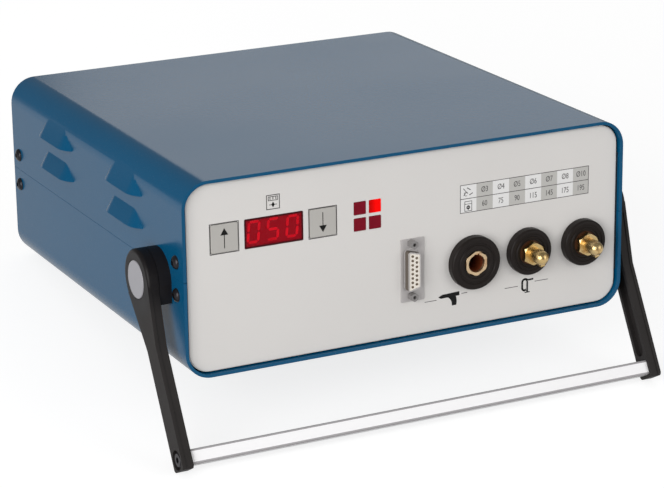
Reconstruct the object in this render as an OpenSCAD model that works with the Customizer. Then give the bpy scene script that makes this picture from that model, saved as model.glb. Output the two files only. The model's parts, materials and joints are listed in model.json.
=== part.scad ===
// Portable capacitor-discharge stud welder in a two-shell sheet-metal case.
// The case leans back on a swivelling carrying handle that serves as a stand.
// Case frame: X to the right, Y from the front rim to the rear, Z up, origin
// on the case bottom at the middle of the front rim. stance() tilts it all.

/* [Case] */
// Width of the case over the side walls
case_w = 298; // [250:1:360]
// Depth of the case from front rim to rear rim
case_d = 283; // [270:1:345]
// Height of the case without the feet
case_h = 120; // [120:1:150]
// Outer radius of the four long edges
corner_r = 16.5; // [14:0.5:17]
// Thickness of the case sheet
sheet_t = 2; // [1.5:0.1:2.5]
// Height of the seam between the lower and the upper shell
seam_z = 60.5; // [59:0.5:64]
// Width of the seam
seam_gap = 0.3; // [0.2:0.1:1]

/* [Louvres] */
// Number of louvres along a side
louvre_count = 2; // [1:1:2]
// Rows of louvres, one above the other
louvre_rows = 2; // [1:1:2]
// Straight length of a louvre between its round ends
louvre_len = 28.5; // [20:0.5:38]
// Distance between louvres along the case
louvre_pitch = 113; // [80:1:120]
// Distance between the rows
louvre_rise = 20; // [15:0.5:20]
// Middle of the front louvre, from the front rim
louvre_y = 87; // [75:1:95]
// Height of the lowest lip
louvre_z = 77; // [74:0.5:77]
// How far the lip stands out of the wall
louvre_out = 5.3; // [4.8:0.1:5.8]
// Height over which the hood slopes back to the wall
louvre_ramp = 10; // [8:0.5:10]

/* [Panels] */
// How far the panel faces lie behind the rims
panel_recess = 3; // [2:0.5:6]
// Thickness of the panel sheet
panel_t = 2; // [1.5:0.1:2.5]
// Gap between panel edge and shell
panel_gap = 0.9; // [0.5:0.1:1.5]
// Depth of the side flanges that take the case screws
flange_d = 22; // [18:1:24]
// Thickness of the printed front foil
overlay_t = 0.3; // [0.2:0.1:0.6]

/* [Case screws] */
// Thread radius of the case screws
screw_r = 2; // [1.5:0.1:2.5]
// Head radius of the case screws
screw_head_r = 4.2; // [3.5:0.1:5]
// Distance of the case screws from the rims
screw_inset = 10.5; // [8:0.5:14]
// Height of each case screw above or below the seam
screw_off = 10; // [7:0.5:14]

/* [Controls] */
// Height of the middle of keys and display
control_z = 83.3; // [80:0.1:88]
// Edge length of a key
key_size = 17.2; // [15:0.1:20]
// Travel of a key
key_travel = 0.5; // [0.3:0.1:0.8]
// Middle of the up key, from the left side
key_up_x = 27.5; // [25:0.5:32]
// Middle of the down key, from the left side
key_down_x = 91.2; // [88:0.1:96]
// Middle of the display, from the left side
display_x = 59.4; // [58:0.1:61]
// Width of the display window
display_w = 37.8; // [34:0.1:40]
// Height of the display window
display_h = 17.9; // [16:0.1:20]
// Digits shown by the display
shown = [0, 5, 0];
// Middle of the four lamps, from the left side
lamps_x = 120.8; // [112:0.1:126]
// Edge length of a lamp
lamp_size = 7.8; // [6:0.1:8.4]
// Distance between lamp middles
lamp_pitch = 10.1; // [10:0.1:12]

/* [Connectors] */
// Height of the connector middles
connector_z = 44.5; // [40:0.5:48]
// Gun socket, from the right side
gun_x = 105.5; // [100:0.5:110]
// Gun socket, below the earth plugs' height
gun_drop = 1.2; // [0:0.1:3]
// Inner earth plug, from the right side
plug_1_x = 67; // [64:0.5:70]
// Outer earth plug, from the right side
plug_2_x = 27.9; // [25:0.1:30]
// Radius of the gun socket body
gun_body_r = 16.8; // [14:0.1:18]
// How far the gun socket body stands out
gun_body_out = 6; // [5:0.5:12]
// Outer radius of the gun contact
gun_contact_r = 7.7; // [7.2:0.1:8]
// Radius of the bore in the gun contact
gun_bore_r = 4.7; // [4:0.1:5.5]
// Depth of the bore in the gun contact
gun_bore_len = 22; // [16:1:26]
// Radius of an earth plug body
plug_body_r = 14.7; // [12:0.1:15]
// How far an earth plug body stands out
plug_body_out = 6; // [4:0.5:9]
// Radius of an earth plug pin
plug_pin_r = 4.5; // [4:0.1:5.5]
// How far an earth plug pin stands out
plug_pin_out = 22; // [20:0.5:30]
// Middle of the signal socket, from the right side
signal_x = 147.2; // [140:0.1:150]
// Height of the signal socket's flange
signal_h = 39.8; // [39:0.1:42]
// Width of the signal socket's flange
signal_w = 15.9; // [14:0.1:18]

/* [Handle] */
// Pivot behind the front rim
pivot_y = 36; // [34:0.5:60]
// Pivot above the case bottom
pivot_z = 55; // [48:0.5:57]
// Angle of the arms below the case's horizontal when standing
arm_angle = 60.8; // [50:0.1:70]
// Length from pivot to the middle of the bar
arm_len = 108.9; // [95:0.1:135]
// Width of an arm, seen from the side
arm_w = 15; // [14:0.5:18]
// Thickness of an arm
arm_t = 7.1; // [6:0.1:9]
// How far the arm runs past the middle of the bar
arm_end = 6.7; // [6.5:0.1:10]
// Length over which the boss narrows to the arm
arm_taper = 42; // [36:1:50]
// Radius of the round boss
boss_r = 18.2; // [17.5:0.1:21]
// Thickness of the fixed bearing plate
base_t = 7.6; // [7:0.1:9]
// Height of the bearing plate below the pivot
base_drop = 11.7; // [11.5:0.1:14]
// Radius of a release button
button_r = 11.5; // [11:0.1:12]
// Travel of a release button
button_travel = 2; // [1.5:0.1:2]
// Height of the bar section, along the arms
bar_h = 9.2; // [8:0.1:12]
// Depth of the bar section
bar_w = 10; // [9:0.1:13.5]

/* [Feet] */
// Radius of a foot
foot_r = 8; // [6:0.5:10]
// Height of a foot
foot_h = 6; // [4:0.5:10]
// Feet, from the side walls
foot_in_x = 30; // [26:1:36]
// Front feet, from the front rim
foot_front_y = 30; // [26:1:45]
// Rear feet, from the rear rim
foot_rear_y = 30; // [26:1:45]

/* [Rear] */
// Edge length of the fan
fan_size = 80; // [76:1:82]
// Depth of the fan
fan_d = 25; // [20:1:30]
// Middle of the fan, from the right side
fan_x = 64; // [60:1:70]
// Middle of the fan above the case bottom
fan_z = 60; // [56:1:64]
// Number of fan blades
fan_blades = 7; // [5:1:9]
// Middle of the mains inlet, from the left side
inlet_x = 45; // [42:1:50]
// Middle of the mains switch, from the left side
switch_x = 92; // [90:1:100]
// Middle of the fuse holder, from the left side
fuse_x = 124; // [122:1:130]
// Height of inlet, switch and fuse holder
mains_z = 42; // [36:1:50]

/* [Inside] */
// Thickness of the chassis plate
chassis_t = 2; // [1.5:0.1:3]
// Radius of a capacitor
cap_r = 25.4; // [22:0.1:25.6]
// Height of a capacitor
cap_h = 92; // [80:1:94]
// Distance between capacitor middles
cap_pitch = 54; // [52.5:0.5:56]
// First capacitor column, from the right side
cap_x = 63; // [60:1:66]
// First capacitor row, from the front rim
cap_y = 95; // [90:1:100]
// Width of the transformer core
core_w = 84; // [70:1:88]
// Height of the transformer core
core_h = 70; // [60:1:84]
// Thickness of the core stack
core_d = 42; // [36:1:50]

/* [Hidden] */
$fn = 96;

// Small overshoot that keeps cuts open
eps = 0.01;
// Clearance of pieces that are assembled but don't move
fit = 0.1;
// Clearance of screws in their holes
hole_fit = 0.05;
// Gap round pieces that move
play = 0.3;
// Running clearance of shafts and journals
run_fit = 0.05;

left = -case_w / 2;
right = case_w / 2;
wall_in = case_w / 2 - sheet_t;
face_y = panel_recess - overlay_t;
panel_in = panel_recess + panel_t;
rear_out = case_d - panel_recess;
rear_in = rear_out - panel_t;
floor_z = sheet_t + chassis_t;

// Colours
paint = [0.17, 0.36, 0.50];
panel_grey = [0.80, 0.79, 0.78];
black = [0.12, 0.12, 0.12];
steel = [0.70, 0.71, 0.72];
zinc = [0.78, 0.78, 0.76];
gold = [0.80, 0.62, 0.28];
copper = [0.75, 0.45, 0.30];
board_green = [0.10, 0.40, 0.22];
cream = [0.90, 0.88, 0.82];
lamp_red = [0.9, 0.05, 0.05];
lamp_dark = [0.4, 0.05, 0.08];

// Draws a (y, z) outline and extrudes it along +X from x0
module plate_x(x0, t) {
    translate([x0, 0, 0]) rotate([90, 0, 90]) linear_extrude(t) children();
}

// Draws an (x, z) outline and extrudes it along +Y from y0
module plate_y(y0, t) {
    translate([0, y0 + t, 0]) rotate([90, 0, 0]) linear_extrude(t) children();
}

// Cylinder along X from x0 to x1
module cyl_x(r, x0, x1) {
    translate([x0, 0, 0]) rotate([0, 90, 0]) cylinder(r = r, h = x1 - x0);
}

// Cylinder along Y from y0 to y1
module cyl_y(r, y0, y1) {
    translate([0, y0, 0]) rotate([-90, 0, 0]) cylinder(r = r, h = y1 - y0);
}

// Rectangle with round corners about the origin
module round_rect(w, h, r) {
    square([w - 2 * r, h], center = true);
    square([w, h - 2 * r], center = true);
    for (x = [-1, 1], y = [-1, 1])
        translate([x * (w / 2 - r), y * (h / 2 - r)]) circle(r);
}

// Puts its children on both sides of the case, drawn for the right one
module both_sides() {
    children();
    mirror([1, 0, 0]) children();
}

// Screw along Z with its head on z = 0 and a hexagon socket
module screw(r, len, head_r, head_h, key_r = 1.6) {
    difference() {
        union() {
            translate([0, 0, -len]) cylinder(r = r, h = len + eps);
            cylinder(r = head_r, h = head_h * 0.45);
            translate([0, 0, head_h * 0.45]) cylinder(r1 = head_r, r2 = head_r * 0.72, h = head_h * 0.55);
        }
        translate([0, 0, head_h * 0.4]) cylinder(r = key_r, h = head_h, $fn = 6);
    }
}

// Shells

// Section of the case, drawn inwards by inset
module case_section(inset) {
    translate([0, case_h / 2])
        round_rect(case_w - 2 * inset, case_h - 2 * inset, corner_r - inset);
}

// Pressed hoods, lips at height 0: a ramp that runs out into the wall, with a
// part of the same ramp turned about an upright axis at each end
louvre_root = 12.1;
louvre_top = 14;
louvre_angle = atan2(louvre_out, louvre_ramp);

// Section of a hood, drawn inwards by inset, its foot at height low
module louvre_profile(inset, low) {
    reach = louvre_out - inset / cos(louvre_angle);
    slope = louvre_out / louvre_ramp;
    top = louvre_top - inset;
    polygon([[-louvre_root, low], [reach, low], [reach - slope * top, top], [-louvre_root, top]]);
}

module louvre_form(inset, low) {
    plate_y(-louvre_len / 2, louvre_len) louvre_profile(inset, low);
    for (side = [-1, 1])
        translate([-louvre_root, side * louvre_len / 2, 0])
            rotate_extrude() translate([louvre_root, 0]) louvre_profile(inset, low);
}

module louvres(inset, low) {
    both_sides()
        for (i = [0 : louvre_count - 1], j = [0 : louvre_rows - 1])
            translate([right, louvre_y + i * louvre_pitch, louvre_z + j * louvre_rise])
                louvre_form(inset, low);
}

// Heights and places of the case screws on a side
module at_side_screws(rows) {
    for (y = [screw_inset, case_d - screw_inset], k = rows)
        translate([0, y, seam_z + k * screw_off]) children();
}

module at_feet() {
    for (x = [-1, 1], y = [foot_front_y, case_d - foot_rear_y])
        translate([x * (right - foot_in_x), y, 0]) children();
}

peg_r = 1.5;
peg_y = 13;
peg_z = -6;
bolt_r = 3;

module lower_shell() {
    color(paint) difference() {
        plate_y(0, case_d) intersection() {
            case_section(0);
            translate([-case_w, 0]) square([2 * case_w, seam_z - seam_gap / 2]);
        }
        plate_y(-eps, case_d + 2 * eps) case_section(sheet_t);
        both_sides() {
            at_side_screws([-1]) cyl_x(screw_r + hole_fit, wall_in - eps, right + eps);
            translate([0, pivot_y, pivot_z]) {
                cyl_x(bolt_r + hole_fit, wall_in - eps, right + eps);
                for (s = [-1, 1])
                    translate([0, s * peg_y, peg_z]) cyl_x(peg_r + hole_fit, wall_in - eps, right + eps);
            }
        }
        at_feet() translate([0, 0, -eps]) cylinder(r = screw_r + hole_fit, h = sheet_t + 2 * eps);
    }
}

module upper_shell() {
    color(paint) difference() {
        union() {
            plate_y(0, case_d) intersection() {
                case_section(0);
                translate([-case_w, seam_z + seam_gap / 2]) square([2 * case_w, case_h]);
            }
            louvres(0, 0);
        }
        plate_y(-eps, case_d + 2 * eps) case_section(sheet_t);
        louvres(sheet_t, -eps);
        both_sides() at_side_screws([1]) cyl_x(screw_r + hole_fit, wall_in - eps, right + eps);
    }
}

screw_len = 7.5;

module side_screws() {
    color(black) both_sides() at_side_screws([-1, 1])
        translate([right, 0, 0]) rotate([0, 90, 0]) screw(screw_r, screw_len, screw_head_r, 2.6);
}

// Panels

flange_z = 22;

module panel_outline(inset) {
    edge = sheet_t + panel_gap + inset;
    translate([0, case_h / 2]) round_rect(case_w - 2 * edge, case_h - 2 * edge, corner_r - edge);
}

// Side flanges of a panel that starts at y0 and folds back to y1
module panel_flanges(y0, y1) {
    both_sides() difference() {
        translate([wall_in - panel_t, y0, flange_z]) cube([panel_t, y1 - y0, case_h - 2 * flange_z]);
        at_side_screws([-1, 1]) cyl_x(screw_r + hole_fit, wall_in - panel_t - eps, wall_in + eps);
    }
}

window_fit = 0.2;
signal_screw_z = 16.65;
neck_r = 10.5;

module square_hole(x, z, w, h, r) {
    translate([x, z]) round_rect(w, h, r);
}

module at_lamps(which) {
    for (i = which)
        translate([left + lamps_x + (i % 2 - 0.5) * lamp_pitch, 0,
                   control_z + (0.5 - floor(i / 2)) * lamp_pitch]) children();
}

// Outline of the signal socket's D-shaped nose, grown by g
nose_h = 25;
nose_w = 8.4;
nose_slant = 1.5;
nose_round = 1.4;
nose_shift = [-1.1, 0.5];
module signal_nose(g) {
    h = nose_h / 2 - nose_round;
    w = nose_w / 2 - nose_round;
    offset(r = nose_round + g, $fn = 24)
        polygon([[-w, -h], [w, -h + nose_slant], [w, h - nose_slant], [-w, h]]);
}

// Middles of gun socket and earth plugs
gun_z = connector_z - gun_drop;
connectors = [[right - gun_x, gun_z], [right - plug_1_x, connector_z], [right - plug_2_x, connector_z]];

// Every opening of the front, as one outline
module front_openings() {
    for (x = [key_up_x, key_down_x])
        square_hole(left + x, control_z, key_size + 2 * play, key_size + 2 * play, 1);
    square_hole(left + display_x, control_z, display_w + 2 * window_fit, display_h + 2 * window_fit, 0.8);
    for (i = [0 : 3])
        square_hole(left + lamps_x + (i % 2 - 0.5) * lamp_pitch,
                    control_z + (0.5 - floor(i / 2)) * lamp_pitch,
                    lamp_size + 2 * window_fit, lamp_size + 2 * window_fit, 0.5);
    for (c = connectors)
        translate(c) circle(neck_r + fit);
    translate([right - signal_x, connector_z] + nose_shift) {
        signal_nose(0.4);
        for (s = [-1, 1])
            translate([0, s * signal_screw_z]) circle(screw_r + fit);
    }
}

board_y = 12;
board_t = 1.6;
post_r = 3;
post_z = 19;

module at_board_posts() {
    for (x = [key_up_x - 15, key_down_x + 13.5], s = [-1, 1])
        translate([left + x, 0, control_z + s * post_z]) children();
}

module front_panel() {
    color(panel_grey) {
        difference() {
            union() {
                plate_y(panel_recess, panel_t) panel_outline(0);
                panel_flanges(panel_recess, panel_recess + flange_d);
            }
            plate_y(panel_recess - eps, panel_t + 2 * eps) front_openings();
        }
        at_board_posts() cyl_y(post_r, panel_in, board_y);
    }
}

overlay_inset = 0.6;

module front_overlay() {
    color(panel_grey) plate_y(face_y, overlay_t) difference() {
        panel_outline(overlay_inset);
        front_openings();
    }
}

fan_hole = 4;
fan_pitch = 71.5 / 2;
fan_open_r = fan_size / 2 - 2;
fuse_r = 6.2;
inlet_w = 28;
inlet_h = 21;
switch_w = 20;
switch_h = 27;

module at_fan_screws() {
    for (x = [-1, 1], z = [-1, 1])
        translate([right - fan_x + x * fan_pitch, 0, fan_z + z * fan_pitch]) children();
}

module rear_openings() {
    translate([right - fan_x, fan_z]) circle(fan_open_r);
    for (x = [-1, 1], z = [-1, 1])
        translate([right - fan_x + x * fan_pitch, fan_z + z * fan_pitch]) circle(screw_r + hole_fit);
    square_hole(left + inlet_x, mains_z, inlet_w + 2 * fit, inlet_h + 2 * fit, 2);
    square_hole(left + switch_x, mains_z, switch_w + 2 * fit, switch_h + 2 * fit, 0.5);
    translate([left + fuse_x, mains_z]) circle(fuse_r + fit);
}

module rear_panel() {
    color(panel_grey) difference() {
        union() {
            plate_y(rear_in, panel_t) panel_outline(0);
            panel_flanges(rear_out - flange_d, rear_out);
        }
        plate_y(rear_in - eps, panel_t + 2 * eps) rear_openings();
    }
}

// Feet

foot_edge = 1;
foot_sink = 2.5;

module foot_pads() {
    color(black) at_feet() difference() {
        mirror([0, 0, 1]) rotate_extrude() difference() {
            union() {
                square([foot_r, foot_h - foot_edge]);
                square([foot_r - foot_edge, foot_h]);
                translate([foot_r - foot_edge, foot_h - foot_edge]) circle(foot_edge);
            }
            translate([-foot_r, -eps]) square([foot_r, foot_h + 2 * eps]);
        }
        translate([0, 0, -foot_h - eps]) {
            cylinder(r = screw_r + hole_fit, h = foot_h + 2 * eps);
            cylinder(r = screw_head_r + fit, h = foot_sink + eps);
        }
    }
}

module foot_screws() {
    color(steel) at_feet() translate([0, 0, foot_sink - foot_h]) mirror([0, 0, 1])
        screw(screw_r, floor_z + foot_h - foot_sink, screw_head_r, foot_sink - 0.5);
}

// Controls

key_proud = 0.25;
key_lip = 1.2;
key_lip_t = 1;

module key_cap(x) {
    lip_y = panel_in + hole_fit;
    translate([left + x, 0, control_z]) {
        plate_y(face_y - key_proud, lip_y + key_lip_t - face_y + key_proud)
            round_rect(key_size, key_size, 1);
        plate_y(lip_y, key_lip_t) square(key_size + 2 * key_lip, center = true);
    }
}

module key_up() {
    color(panel_grey) key_cap(key_up_x);
}

module key_down() {
    color(panel_grey) key_cap(key_down_x);
}

segment_t = 0.3;

module display_window() {
    color([0.55, 0.05, 0.08, 0.6]) translate([left + display_x, 0, control_z])
        plate_y(face_y, panel_in - face_y) round_rect(display_w, display_h, 0.6);
}

module display_module() {
    color(black) translate([left + display_x, 0, control_z])
        plate_y(panel_in + segment_t, board_y - panel_in - segment_t)
            square([display_w - 0.6, display_h - 0.6], center = true);
}

// Seven-segment digits: a to g from the top, clockwise, middle last
segment_table = [
    [1, 1, 1, 1, 1, 1, 0], [0, 1, 1, 0, 0, 0, 0], [1, 1, 0, 1, 1, 0, 1],
    [1, 1, 1, 1, 0, 0, 1], [0, 1, 1, 0, 0, 1, 1], [1, 0, 1, 1, 0, 1, 1],
    [1, 0, 1, 1, 1, 1, 1], [1, 1, 1, 0, 0, 0, 0], [1, 1, 1, 1, 1, 1, 1],
    [1, 1, 1, 1, 0, 1, 1]
];
digit_pitch = 12.5;
digit_w = 6.6;
digit_h = 12.4;
digit_lean = tan(5);
digit_shift = 0.5;
segment_half = 0.8;
segment_space = 0.3;

// Start point and direction of each segment, in digit widths and half heights
segment_place = [
    [-1, 1, 0], [1, 1, -90], [1, 0, -90], [-1, -1, 0], [-1, 0, -90], [-1, 1, -90], [-1, 0, 0]
];

function leaned(p) = [p[0] + p[1] * digit_lean, p[1]];

function segment_points(i) =
    let (flat = segment_place[i][2] == 0)
    let (len = (flat ? digit_w : digit_h / 2) - segment_space)
    let (start = [segment_place[i][0] * digit_w / 2, segment_place[i][1] * digit_h / 2])
    let (h = segment_half)
    let (outline = [[segment_space, 0], [segment_space + h, h], [len - h, h], [len, 0],
                    [len - h, -h], [segment_space + h, -h]])
    [for (p = outline) leaned(start + (flat ? p : [p[1], -p[0]]))];

module display_segments() {
    color(lamp_red) translate([left + display_x, 0, control_z]) plate_y(panel_in, segment_t)
        for (d = [0 : 2], i = [0 : 6])
            if (segment_table[shown[d]][i] == 1)
                translate([(d - 1) * digit_pitch + digit_shift, 0]) polygon(segment_points(i));
}

lamp_proud = 0.2;

module lamp_body() {
    plate_y(face_y - lamp_proud, board_y - face_y + lamp_proud) round_rect(lamp_size, lamp_size, 0.4);
}

module lamp_lit() {
    color(lamp_red) at_lamps([1]) lamp_body();
}

module lamps_unlit() {
    color(lamp_dark) at_lamps([0, 2, 3]) lamp_body();
}

board_margin = 4;

module display_board() {
    x0 = left + key_up_x - 15 - board_margin;
    x1 = left + lamps_x + lamp_pitch / 2 + lamp_size / 2 + 2;
    color(board_green) translate([x0, board_y, control_z - post_z - board_margin])
        cube([x1 - x0, board_t, 2 * (post_z + board_margin)]);
}

switch_gap = 0.1;

module key_switches() {
    color(black) for (x = [key_up_x, key_down_x]) translate([left + x, 0, control_z]) {
        plate_y(board_y - 4, 4) square(12, center = true);
        cyl_y(3, panel_in + hole_fit + key_lip_t + key_travel + switch_gap, board_y - 4 + eps);
    }
}

// Connectors

nose_out = 5.8;
nose_wall = 0.6;
signal_flange_t = 0.8;
flange_hole_r = 1.55;
rim_w = 0.9;
rim_d = 0.5;

// The nose and its jack screws sit off the middle of the flange
module at_nose() {
    translate([right - signal_x + nose_shift[0], 0, connector_z + nose_shift[1]]) children();
}

module signal_socket_shell() {
    color(zinc) at_nose() difference() {
        union() {
            plate_y(face_y - signal_flange_t, signal_flange_t) difference() {
                translate(-nose_shift) round_rect(signal_w, signal_h, 0.6);
                for (s = [-1, 1])
                    translate([0, s * signal_screw_z]) circle(flange_hole_r);
            }
            plate_y(face_y - nose_out, nose_out) signal_nose(0);
        }
        plate_y(face_y - nose_out - eps, nose_out + 2 * eps) signal_nose(-nose_wall);
        plate_y(face_y - signal_flange_t - eps, rim_d + eps) difference() {
            signal_nose(rim_w);
            signal_nose(0);
        }
    }
}

// Two rows of contact holes
contact_pitch = 2.76;
contact_gap = 2.84;
module at_contacts() {
    for (row = [0, 1], i = [0 : 7 - row])
        translate([(row - 0.5) * contact_gap, 0, (i - (7 - row) / 2) * contact_pitch]) children();
}

module signal_socket_insert() {
    color(cream) at_nose() difference() {
        plate_y(face_y - nose_out + 0.4, nose_out + 8) signal_nose(-nose_wall - fit);
        at_contacts() cyl_y(0.6, face_y - nose_out, face_y + 3);
    }
}

jack_half = 2.4;
jack_out = 4.8;
jack_r = 1.5;
jack_bore_r = 1.1;

// Hexagonal stand-offs with a thread for the plug's screws
module signal_socket_screws() {
    color(steel) at_nose() for (s = [-1, 1]) translate([0, 0, s * signal_screw_z]) difference() {
        union() {
            plate_y(face_y - signal_flange_t - jack_out, jack_out)
                rotate(30) circle(jack_half / cos(30), $fn = 6);
            cyl_y(jack_r, face_y - signal_flange_t - eps, panel_in + 4);
        }
        cyl_y(jack_bore_r, face_y - signal_flange_t - jack_out - eps, face_y);
    }
}

socket_edge = 1.6;
gun_recess = 0.8;
gun_ring_r = 11.6;
neck_len = 14;
nut_t = 5;
nut_r = 14;

// Insulating body with a rounded front edge and a threaded neck
module connector_body(r, out, ring_r, bore_r) {
    rotate([90, 0, 0]) rotate_extrude() difference() {
        union() {
            square([r, out - socket_edge]);
            square([r - socket_edge, out]);
            translate([r - socket_edge, out - socket_edge]) circle(socket_edge);
            translate([0, -panel_t - overlay_t - neck_len]) square([neck_r, panel_t + overlay_t + neck_len]);
        }
        translate([-r, -case_d]) square([r + bore_r, 2 * case_d]);
        translate([ring_r, out - 0.6]) square([1.4, 1]);
        translate([0, out - gun_recess]) square([bore_r + 1.6, 1]);
    }
}

module gun_socket_body() {
    color(black) translate([right - gun_x, face_y, gun_z])
        connector_body(gun_body_r, gun_body_out, gun_ring_r, gun_contact_r + fit);
}

contact_tail = 26;
stud_r = 4;
stud_len = 12;
mouth = 0.9;
mouth_d = 2.5;
head_half = 7.15;
notch_w = 3.4;
notch_r = 6.4;

module gun_socket_contact() {
    front = gun_body_out - gun_recess / 2;
    color(gold) translate([right - gun_x, face_y, gun_z]) rotate([90, 0, 0]) difference() {
        union() {
            translate([0, 0, -contact_tail]) cylinder(r = gun_contact_r, h = contact_tail + front - mouth_d);
            translate([0, 0, -contact_tail - stud_len]) cylinder(r = stud_r, h = stud_len + 1);
            intersection() {
                translate([0, 0, front - mouth_d - eps]) cylinder(r = gun_contact_r, h = mouth_d + eps);
                rotate([0, 0, 30]) cylinder(r = head_half / cos(30), h = front, $fn = 6);
            }
        }
        translate([0, 0, front - gun_bore_len]) cylinder(r = gun_bore_r, h = gun_bore_len + 1);
        translate([0, 0, front - mouth_d]) cylinder(r1 = gun_bore_r, r2 = gun_bore_r + mouth, h = mouth_d + eps);
        translate([-notch_w / 2, 0, front - mouth_d]) cube([notch_w, notch_r, mouth_d + 1]);
    }
}

module earth_plug_body(x) {
    color(black) translate([right - x, face_y, connector_z])
        connector_body(plug_body_r, plug_body_out, plug_body_r - 4.4, gun_contact_r + fit);
}

collar_r = 7.6;
collar_out = 9.6;
collar_edge = 0.9;
lug_w = 3;
lug_h = 1.6;
lug_len = 5;
lug_gap = 0.2;
lug_angle = -75;

module earth_plug_pin(x) {
    nose_y = plug_pin_out - plug_pin_r;
    collar_low = plug_body_out - gun_recess;
    collar_t = collar_out - collar_low;
    color(gold) translate([right - x, face_y, connector_z]) rotate([90, 0, 0]) {
        translate([0, 0, -contact_tail]) cylinder(r = gun_contact_r, h = contact_tail + collar_low);
        translate([0, 0, -contact_tail - stud_len]) cylinder(r = stud_r, h = stud_len + 1);
        translate([0, 0, collar_low - eps]) intersection() {
            rotate([0, 0, 30]) cylinder(r = collar_r, h = collar_t + eps, $fn = 6);
            cylinder(r1 = collar_r - collar_edge + collar_t, r2 = collar_r - collar_edge, h = collar_t + eps);
        }
        cylinder(r = plug_pin_r, h = nose_y);
        translate([0, 0, nose_y]) sphere(r = plug_pin_r);
        rotate([0, 0, lug_angle]) translate([0, -lug_w / 2, nose_y - lug_len - lug_gap])
            cube([plug_pin_r + lug_h, lug_w, lug_len]);
    }
}

module earth_plug_body_1() {
    earth_plug_body(plug_1_x);
}

module earth_plug_body_2() {
    earth_plug_body(plug_2_x);
}

module earth_plug_pin_1() {
    earth_plug_pin(plug_1_x);
}

module earth_plug_pin_2() {
    earth_plug_pin(plug_2_x);
}

module connector_nuts() {
    color(black) for (c = connectors) translate([c[0], 0, c[1]]) difference() {
        translate([0, panel_in, 0]) rotate([-90, 30, 0]) cylinder(r = nut_r, h = nut_t, $fn = 6);
        cyl_y(neck_r + hole_fit, panel_in - eps, panel_in + nut_t + eps);
    }
}

// Handle: each side piece is drawn for the right side, pivot at the origin,
// outwards along +X, measured from the case wall

arm_in = base_t + play;
arm_out = arm_in + arm_t;
web_t = 1.95;
web_out = arm_in + web_t;
journal_r = 6;
journal_out = web_out + 0.1;
bolt_head_r = 7.8;
bolt_head_t = 1.25;
button_t = 2;
button_out = arm_out + 0.4;
button_in = button_out - button_t;
groove_in_r = 8;
groove_out_r = 11.4;
groove_floor = 2.6;
tooth_count = 24;
tooth_h = 0.9;
tooth_low = 5.6;
leg_count = 3;
leg_in_r = 9.7;
leg_out_r = 10.9;
leg_w = 3.2;
leg_low = 5;
lug_in_r = 9.2;
lug_low = 5.7;
boss_edge = 2.2;
step_t = 2.1;
step_in = 0.6;

module at_pivot(side) {
    mirror([side < 0 ? 1 : 0, 0, 0]) translate([right, pivot_y, pivot_z]) children();
}

// Turns an upright arm, hanging along -Z, to its standing angle
module swung() {
    rotate([arm_angle - 90, 0, 0]) children();
}

module arch_outline() {
    intersection() {
        union() {
            circle(boss_r);
            translate([-boss_r, -base_drop]) square([2 * boss_r, base_drop]);
        }
        translate([-boss_r, -base_drop]) square([2 * boss_r, base_drop + boss_r]);
    }
}

module handle_base(side) {
    color(black) at_pivot(side) difference() {
        union() {
            difference() {
                plate_x(0, base_t) arch_outline();
                cyl_x(groove_out_r, groove_floor, base_t + eps);
            }
            cyl_x(groove_in_r, groove_floor - eps, base_t);
            for (i = [0 : tooth_count - 1]) rotate([i * 360 / tooth_count, 0, 0])
                plate_x(tooth_low, base_t - tooth_low)
                    polygon([[groove_in_r - 0.2, -0.9], [groove_in_r + tooth_h, 0], [groove_in_r - 0.2, 0.9]]);
            cyl_x(journal_r, base_t - eps, journal_out);
            for (s = [-1, 1]) translate([0, s * peg_y, peg_z]) cyl_x(peg_r, -sheet_t, eps);
        }
        cyl_x(bolt_r + hole_fit, -eps, journal_out + eps);
    }
}

module handle_base_left() {
    handle_base(-1);
}

module handle_base_right() {
    handle_base(1);
}

// Where a line from the arm's edge touches the boss, drawn inwards by inset
function touch(inset) =
    let (r = boss_r - boss_edge / 2 - inset, edge = [arm_w / 2 - inset, -arm_taper])
    let (angle = atan2(edge[1], edge[0]) + acos(r / norm(edge)))
    r * [cos(angle), sin(angle)];

toe_r = 2.5;
arm_reach = arm_len + arm_end;

// Outline of an arm with its long sides drawn inwards by inset
module arm_outline(inset) {
    w = arm_w / 2 - inset;
    t = touch(inset);
    polygon([t, [w, -arm_taper], [-w, -arm_taper], [-t[0], t[1]]]);
    translate([-w, -arm_reach + toe_r]) square([2 * w, arm_reach - toe_r - arm_taper + eps]);
    translate([-w + toe_r, -arm_reach]) square([2 * (w - toe_r), 2 * toe_r]);
    for (s = [-1, 1]) translate([s * (w - toe_r), -arm_reach + toe_r]) circle(toe_r);
}

bar_screw_r = 2;
pocket_r = 6;
pocket_d = 3;
channel_w = 8.5;
channel_d = 3;
channel_top = 24;
channel_low = arm_len - 12;

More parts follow.
